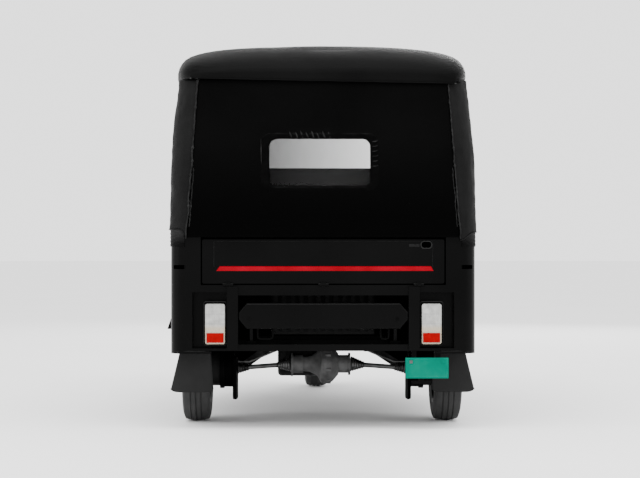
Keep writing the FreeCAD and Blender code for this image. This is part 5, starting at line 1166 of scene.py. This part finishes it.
def motor_barrel():
    """The motor's smooth barrel with a rounded end and raised seams."""
    low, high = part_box("motor")
    profile = [(0, 0)]
    for k in range(8, -1, -1):
        turn = radians(90 * k / 8)
        drop = motor_round * (1 - cos(turn))
        profile.append((motor_round * (1 - sin(turn)), motor_radius - drop))
    over = motor_radius + motor_seam_proud
    for seam in motor_seams:
        end = seam + motor_seam_width
        profile += [(seam, motor_radius), (seam, over), (end, over), (end, motor_radius)]
    profile += [(high.x - low.x, motor_radius), (high.x - low.x, 0)]
    barrel = turned("motor_barrel", profile, V((low.x, *axis_of("motor"))), RIGHT, "motor_black", steps=64)
    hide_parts("motor")


def gear_casing():
    """The bell of the gear casing with its outlets, bolts, lobe, web and pad."""
    low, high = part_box("transaxle")
    axis = V((low.x, axis_of("rear_rim_right")[0], low.z + case_radius + case_foot_gap))
    left, right = high.x - case_left_inset, high.x - case_right_inset
    width, middle = right - left, (left + right) / 2
    start, length, end = left - case_neck - low.x, width + case_neck, high.x - low.x
    profile = [(0, 0), (0, flange_radius), (flange_width, flange_radius), (flange_width, outlet_radius),
               (flange_width + cup_length, outlet_radius), (flange_width + cup_length, nose_radius)]
    profile += [(start + length * share, case_radius * part) for share, part in case_bell]
    profile += [(start + length, outlet_radius), (end - flange_width, outlet_radius),
                (end - flange_width, flange_radius), (end, flange_radius), (end, 0)]
    casing = turned("gear_casing", profile, axis, RIGHT, "cast_grey", steps=64)
    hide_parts("transaxle")
    for k in range(case_bolt_count):
        turn = 2 * pi * (k + 0.3) / case_bolt_count
        at = V((middle - case_bolt_length / 2, axis.y + case_radius * cos(turn),
                axis.z + case_radius * sin(turn)))
        turned("case_bolt_%d" % k, rod_profile(case_bolt_length, case_bolt_radius), at, RIGHT, "cast_grey",
               steps=12)
    motor_at, output_at = V((left, *axis_of("motor"))), V((left, axis.y, axis.z))
    lobe = [(0, 0), (0, motor_radius), (width * 0.4, motor_radius), (width * 0.62, motor_radius * 0.7),
            (width * 0.62, 0)]
    turned("casing_lobe", lobe, motor_at, RIGHT, "cast_grey", steps=64)
    across = (motor_at - output_at).normalized().cross(RIGHT) * case_radius * 0.6
    web = [motor_at + across, output_at + across, output_at - across, motor_at - across]
    slab("casing_web", web, RIGHT * width * 0.6, "cast_grey", edge=0.004)
    rail_foot_z = hit_on("underframe", V((middle, axis.y, 0)), UP).z - 0.0005
    pad = [V((middle + x, axis.y - case_pad_depth / 2, z)) for x, z in (
        (-case_pad_half, axis.z), (case_pad_half, axis.z),
        (case_pad_half, min(rail_foot_z, high.z)), (-case_pad_half, min(rail_foot_z, high.z)))]
    slab("casing_pad", pad, AHEAD * case_pad_depth, "cast_grey", edge=0.002)


def arm_blades():
    """The upright blades on the trailing arms, turned toward the middle."""
    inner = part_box("rear_rim_right")[0].x - blade_inset
    axle_y = axis_of("rear_rim_right")[0]
    flat = rounded_rectangle(-blade_half, blade_half, blade_low_z, blade_high_z, blade_corner, lambda z: 0, 5)
    turn = radians(blade_turn_deg)
    for side, name in SIDES:
        away = V((side * cos(turn), sin(turn), 0))
        centre = V((side * inner, axle_y - blade_back, 0)) - away * blade_thick
        outline = [centre + round_corner(side, turn) * p.x + UP * p.z for p in flat]
        slab("arm_blade_" + name, outline, away * blade_thick, "underside_shaded_paint", edge=0.0015)


def lamp_ring(xs, outward, corner, back):
    """A closed line round a tail lamp, moved outward at its sides, foot and top."""
    low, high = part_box("tail_lamps")
    side, foot, top = outward
    return rounded_rectangle(xs[0] - side, xs[1] + side, low.z - foot, high.z + top, corner,
                             lambda z: low.y + back)


def lamp_details():
    """The lines across the tail lamps' lenses and the rubber round them."""
    low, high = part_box("tail_lamps")
    reds_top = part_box("tail_lamp_reds")[1].z
    inner_x = min(abs(v.co.x) for v in frame["nodes"]["tail_lamps"].data.vertices)
    rim = (gasket_lip_out,) * 3
    lens = (-gasket_over, -gasket_over_foot, -gasket_over_top)
    for side, name in SIDES:
        xs = sorted((side * inner_x, side * high.x))
        for k, share in enumerate(lamp_line_shares):
            line = [V((x, low.y + 0.0003, between(reds_top, high.z, share)))
                    for x in (xs[0] + lamp_line_inset, xs[1] - lamp_line_inset)]
            tube("lamp_line_%s_%d" % (name, k), line, lamp_line_radius, "lamp_line", smooth=False)
        ring = lamp_ring(xs, (gasket_out,) * 3, gasket_corner, gasket_back)
        tube("lamp_gasket_" + name, ring, gasket_radius, "rubber", closed=True)
        lip = [lamp_ring(xs, rim, gasket_corner, back) for back in (0.004, -0.002)]
        lip += [lamp_ring(xs, lens, lens_corner, back) for back in (-0.002, 0.002)]
        grid_piece("lamp_gasket_lip_" + name, lip, "gasket", wrap=True)


def drum_lips():
    """The lips of the brake backing plates, which reach over the drums' edges."""
    inner_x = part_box("rear_rim_right")[0].x
    reach = lip_back + lip_over
    profile = [(0, lip_inner), (0, lip_outer), (reach, lip_outer), (reach, lip_outer - lip_wall),
               (lip_wall, lip_outer - lip_wall), (lip_wall, lip_inner), (0, lip_inner)]
    for side, name in SIDES:
        foot = V((side * (inner_x - lip_back), *axis_of("rear_rim_right")))
        turned("drum_lip_" + name, profile, foot, RIGHT * side, "frame_paint", steps=72)


def loop_brackets():
    """The two small loops under the bumper."""
    bend_z = loop_foot_z + loop_bend
    for name, (x0, x1) in loop_ends.items():
        points = [V((x0, loop_y, loop_top_z)), V((x0, loop_y, bend_z)),
                  V((x0 + 0.004, loop_y - 0.004, loop_foot_z)), V((x1 - 0.004, loop_y - 0.004, loop_foot_z)),
                  V((x1, loop_y, bend_z)), V((x1, loop_y, loop_top_z))]
        tube("bumper_loop_" + name, points, loop_radius, "frame_paint")


def plate_point(low, high, across, up):
    """A point of the plate's face, with its raised rim and the corner that stands off."""
    x, z = between(low.x, high.x, across), between(low.z, high.z, up)
    edge = min(x - low.x, high.x - x, z - low.z, high.z - z)
    rim = plate_rim * hump(edge - plate_rim_inset, plate_rim_width)
    spring = plate_spring * max(0, across + up - 1.4) ** 2
    return V((x, low.y + plate_thick / 2 - rim + spring, z))


def number_plate():
    """The blank green plate and its bolts."""
    low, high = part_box("number_plate")
    rows = sheet_rows(38, 20, partial(plate_point, low, high - UP * plate_trim))
    plate = thicken(grid_piece("plate_sheet", rows, "plate_green"), plate_thick, 1)
    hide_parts("number_plate")
    half = plate_bolt_size / 2
    z = high.z - plate_hole_drop
    for (side, name), material in zip(SIDES, ("steel", "plate_green")):
        x = (low.x + high.x) / 2 + side * plate_hole_spacing / 2
        head = rounded_rectangle(x - half, x + half, z - half, z + half, half * 0.3,
                                 lambda v: low.y + 0.001, 4)
        slab("plate_bolt_" + name, head, -AHEAD * plate_bolt_proud, material, edge=0.0008)


def mud_flap_point(low, high, side, across, up):
    """A point of a mud flap, which curls back toward its foot."""
    inner, outer = (between(foot, head, up) for foot, head in zip(mud_flap_foot_xs, mud_flap_head_xs))
    x, z = between(inner, outer, across), between(low.z - flap_stretch, high.z, up)
    corner = max(0, 1 - up / 0.12) ** 2 * (abs(across - 0.5) * 2) ** 8
    bulge = mud_flap_bulge * sin(pi * across)
    sway = mud_flap_sway * ripple(V((x, side, z)), 0.08, 3)
    y = low.y + mud_flap_set_in - (bulge - sway) * (1 - up) - mud_flap_curl * (1 - up) ** 2
    return V((side * x, y, z + mud_flap_corner_rise * corner))


def mud_flaps():
    """The rubber flaps behind the rear wheels."""
    low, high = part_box("mud_flaps")
    for side, name in SIDES:
        rows = sheet_rows(20, 24, partial(mud_flap_point, low, high, side))
        flap = thicken(grid_piece("mud_flap_" + name, rows, "rubber"), mud_flap_thick, 0)
        if side < 0:
            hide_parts("mud_flaps")


# Front and cab details

def screen_hit(x, z):
    """The front of the windscreen's glass at a place, if it is there."""
    return hit_on("windscreen_glass", V((x, front_ray_y, z)), -AHEAD)


def windscreen_gasket():
    """The rubber round the windscreen and its wiper."""
    outline = []
    for p in rounded_rectangle(-1, 1, -1, 1, 0.25, lambda z: 0, 8):
        up = (p.z + 1) / 2
        x = between(screen_foot_half, screen_head_half, up) * p.x
        hit = screen_hit(x * 0.985, screen_low_z + (screen_high_z - screen_low_z) * up * 0.98 + 0.004)
        if hit:
            outline.append(hit + AHEAD * screen_gasket_out)
    tube("windscreen_gasket", outline, screen_gasket_radius, "rubber", closed=True)
    arm = [V((x, screen_hit(x, max(z, wiper_lowest_z)).y + wiper_arm_out, z)) for x, z in wiper_path]
    tube("wiper_arm", arm, wiper_arm_radius, "black_plastic")
    blade = [wiper_blade_ends[0].lerp(wiper_blade_ends[1], k / 8) for k in range(9)]
    blade = [V((p.x, screen_hit(p.x, p.z).y + wiper_blade_out, p.z)) for p in blade]
    tube("wiper_blade", blade, wiper_blade_radius, "rubber")


def mirror_glasses():
    """The silvered glasses of the two mirrors."""
    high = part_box("mirrors")[1]
    for side, name in SIDES:
        x = side * (high.x - mirror_inset)
        ring = rounded_rectangle(x - mirror_half, x + mirror_half, high.z - mirror_foot_drop,
                                 high.z - mirror_top_drop, mirror_corner, lambda z: mirror_face_y)
        slab("mirror_glass_" + name, ring, AHEAD * mirror_thick, "mirror_glass", edge=0.0004)


def headlamp_bulbs():
    """The reflector and bulb cap behind each headlamp glass, and the glass's flutes."""
    low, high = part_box("headlamp_lenses")
    z = (low.z + high.z) / 2
    shares = [0.3 + 0.7 * k / 10 for k in range(11)]
    profile = [(reflector_depth * share ** 2, reflector_radius * share) for share in shares]
    for side, name in SIDES:
        x = side * (high.x - reflector_inset)
        foot = V((x, low.y - reflector_back, z))
        turned("headlamp_reflector_" + name, profile, foot, AHEAD, "reflector", steps=48)
        turned("headlamp_bulb_" + name, bulb_cap, foot + AHEAD * bulb_out, AHEAD, "black_plastic")
        for k in range(flute_count):
            across = (k + 0.5) / flute_count * 2 - 1
            half = reflector_radius * sqrt(1 - across ** 2) * 0.96
            at = V((x + across * reflector_radius, high.y - flute_back, z))
            tube("headlamp_flute_%s_%d" % (name, k), [at - UP * half, at + UP * half], flute_radius,
                 "flute_glass", smooth=False)


def floor_mat():
    """The ribbed rubber mats on the cab floor."""
    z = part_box("floor_pan")[1].z
    for name, (y0, y1, half) in mats.items():
        outline = rounded_rectangle(-half, half, y0, y1, mat_corner, lambda v: v)
        flat = [V((p.x, p.z, z + 0.0004)) for p in outline]
        slab("floor_mat_" + name, flat, UP * mat_thick, "rubber", edge=0.001)
        for k in range(int((half - mat_corner) * 2 / mat_rib_pitch)):
            x = -half + mat_rib_start + k * mat_rib_pitch
            rib = [V((x, y, z + mat_thick + 0.0005)) for y in (y0 + mat_rib_inset, y1 - mat_rib_inset)]
            tube("mat_rib_%s_%d" % (name, k), rib, mat_rib_radius, "rubber", smooth=False)


def dials():
    """The round instrument behind the handlebar."""
    turned("dial_ring", dial_ring, dial_place, -AHEAD, "steel")
    turned("dial_face", dial_face, dial_place, -AHEAD, "black_plastic")


def handlebar_levers():
    """The two levers in front of the grips."""
    low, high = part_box("handlebar_grips")
    grip_end = V((high.x, low.y, high.z))
    for side, name in SIDES:
        pivot = mirrored(grip_end + lever_pivot_from_grip, side)
        tip = mirrored(grip_end + lever_tip_from_grip, side)
        middle = (pivot + tip) / 2 + AHEAD * lever_bow
        tube("lever_" + name, [pivot, middle, tip], lever_radius, "steel", "steering")
        turned("lever_clamp_" + name, rod_profile(clamp_length, clamp_radius),
               pivot + mirrored(clamp_from_pivot, side), RIGHT * side, "black_plastic", "steering")


# Studio

def studio():
    """A pale floor that reaches the horizon, soft lights and the camera."""
    scene = bpy.context.scene
    turns = [2 * pi * k / floor_steps for k in range(floor_steps)]
    rows = [[V((radius * cos(turn), radius * sin(turn), 0)) for turn in turns]
            for radius in (0.0002, floor_radius / 8, floor_radius)]
    floor = grid_piece("studio_floor", rows, "floor", body=None, wrap=True)
    world = bpy.data.worlds.new("studio")
    world.use_nodes = True
    sky = world.node_tree.nodes["Background"]
    sky.inputs["Color"].default_value = (1, 1, 1, 1)
    sky.inputs["Strength"].default_value = sky_strength
    scene.world = world
    for name, place_at, aim, wide, tall, watts in lights:
        data = bpy.data.lights.new(name, "AREA")
        data.shape, data.size, data.size_y, data.energy = "RECTANGLE", wide, tall, watts
        lamp = bpy.data.objects.new(name, data)
        lamp.location = place_at
        lamp.rotation_euler = (aim - place_at).to_track_quat("-Z", "Y").to_euler()
        scene.collection.objects.link(lamp)
    data = bpy.data.cameras.new("view")
    data.lens, data.sensor_width = camera_lens, camera_sensor
    data.clip_end = 100
    camera = bpy.data.objects.new("view", data)
    camera.location = camera_place
    camera.rotation_euler = (radians(90 + camera_pitch_deg), 0, -radians(camera_yaw_deg))
    scene.collection.objects.link(camera)
    scene.camera = camera


dress_nodes()
seats()
roof_cloth()
rear_curtain()
curtain_seams()
rear_window()
hood_flaps()
flap_bands()
tailgate_stripe()
tailgate_beads()
latch_trim()
slot_shade_sheets()
body_edges()
strap_hook()
motor_barrel()
gear_casing()
arm_blades()
lamp_details()
drum_lips()
loop_brackets()
number_plate()
mud_flaps()
windscreen_gasket()
mirror_glasses()
headlamp_bulbs()
floor_mat()
dials()
handlebar_levers()
studio()
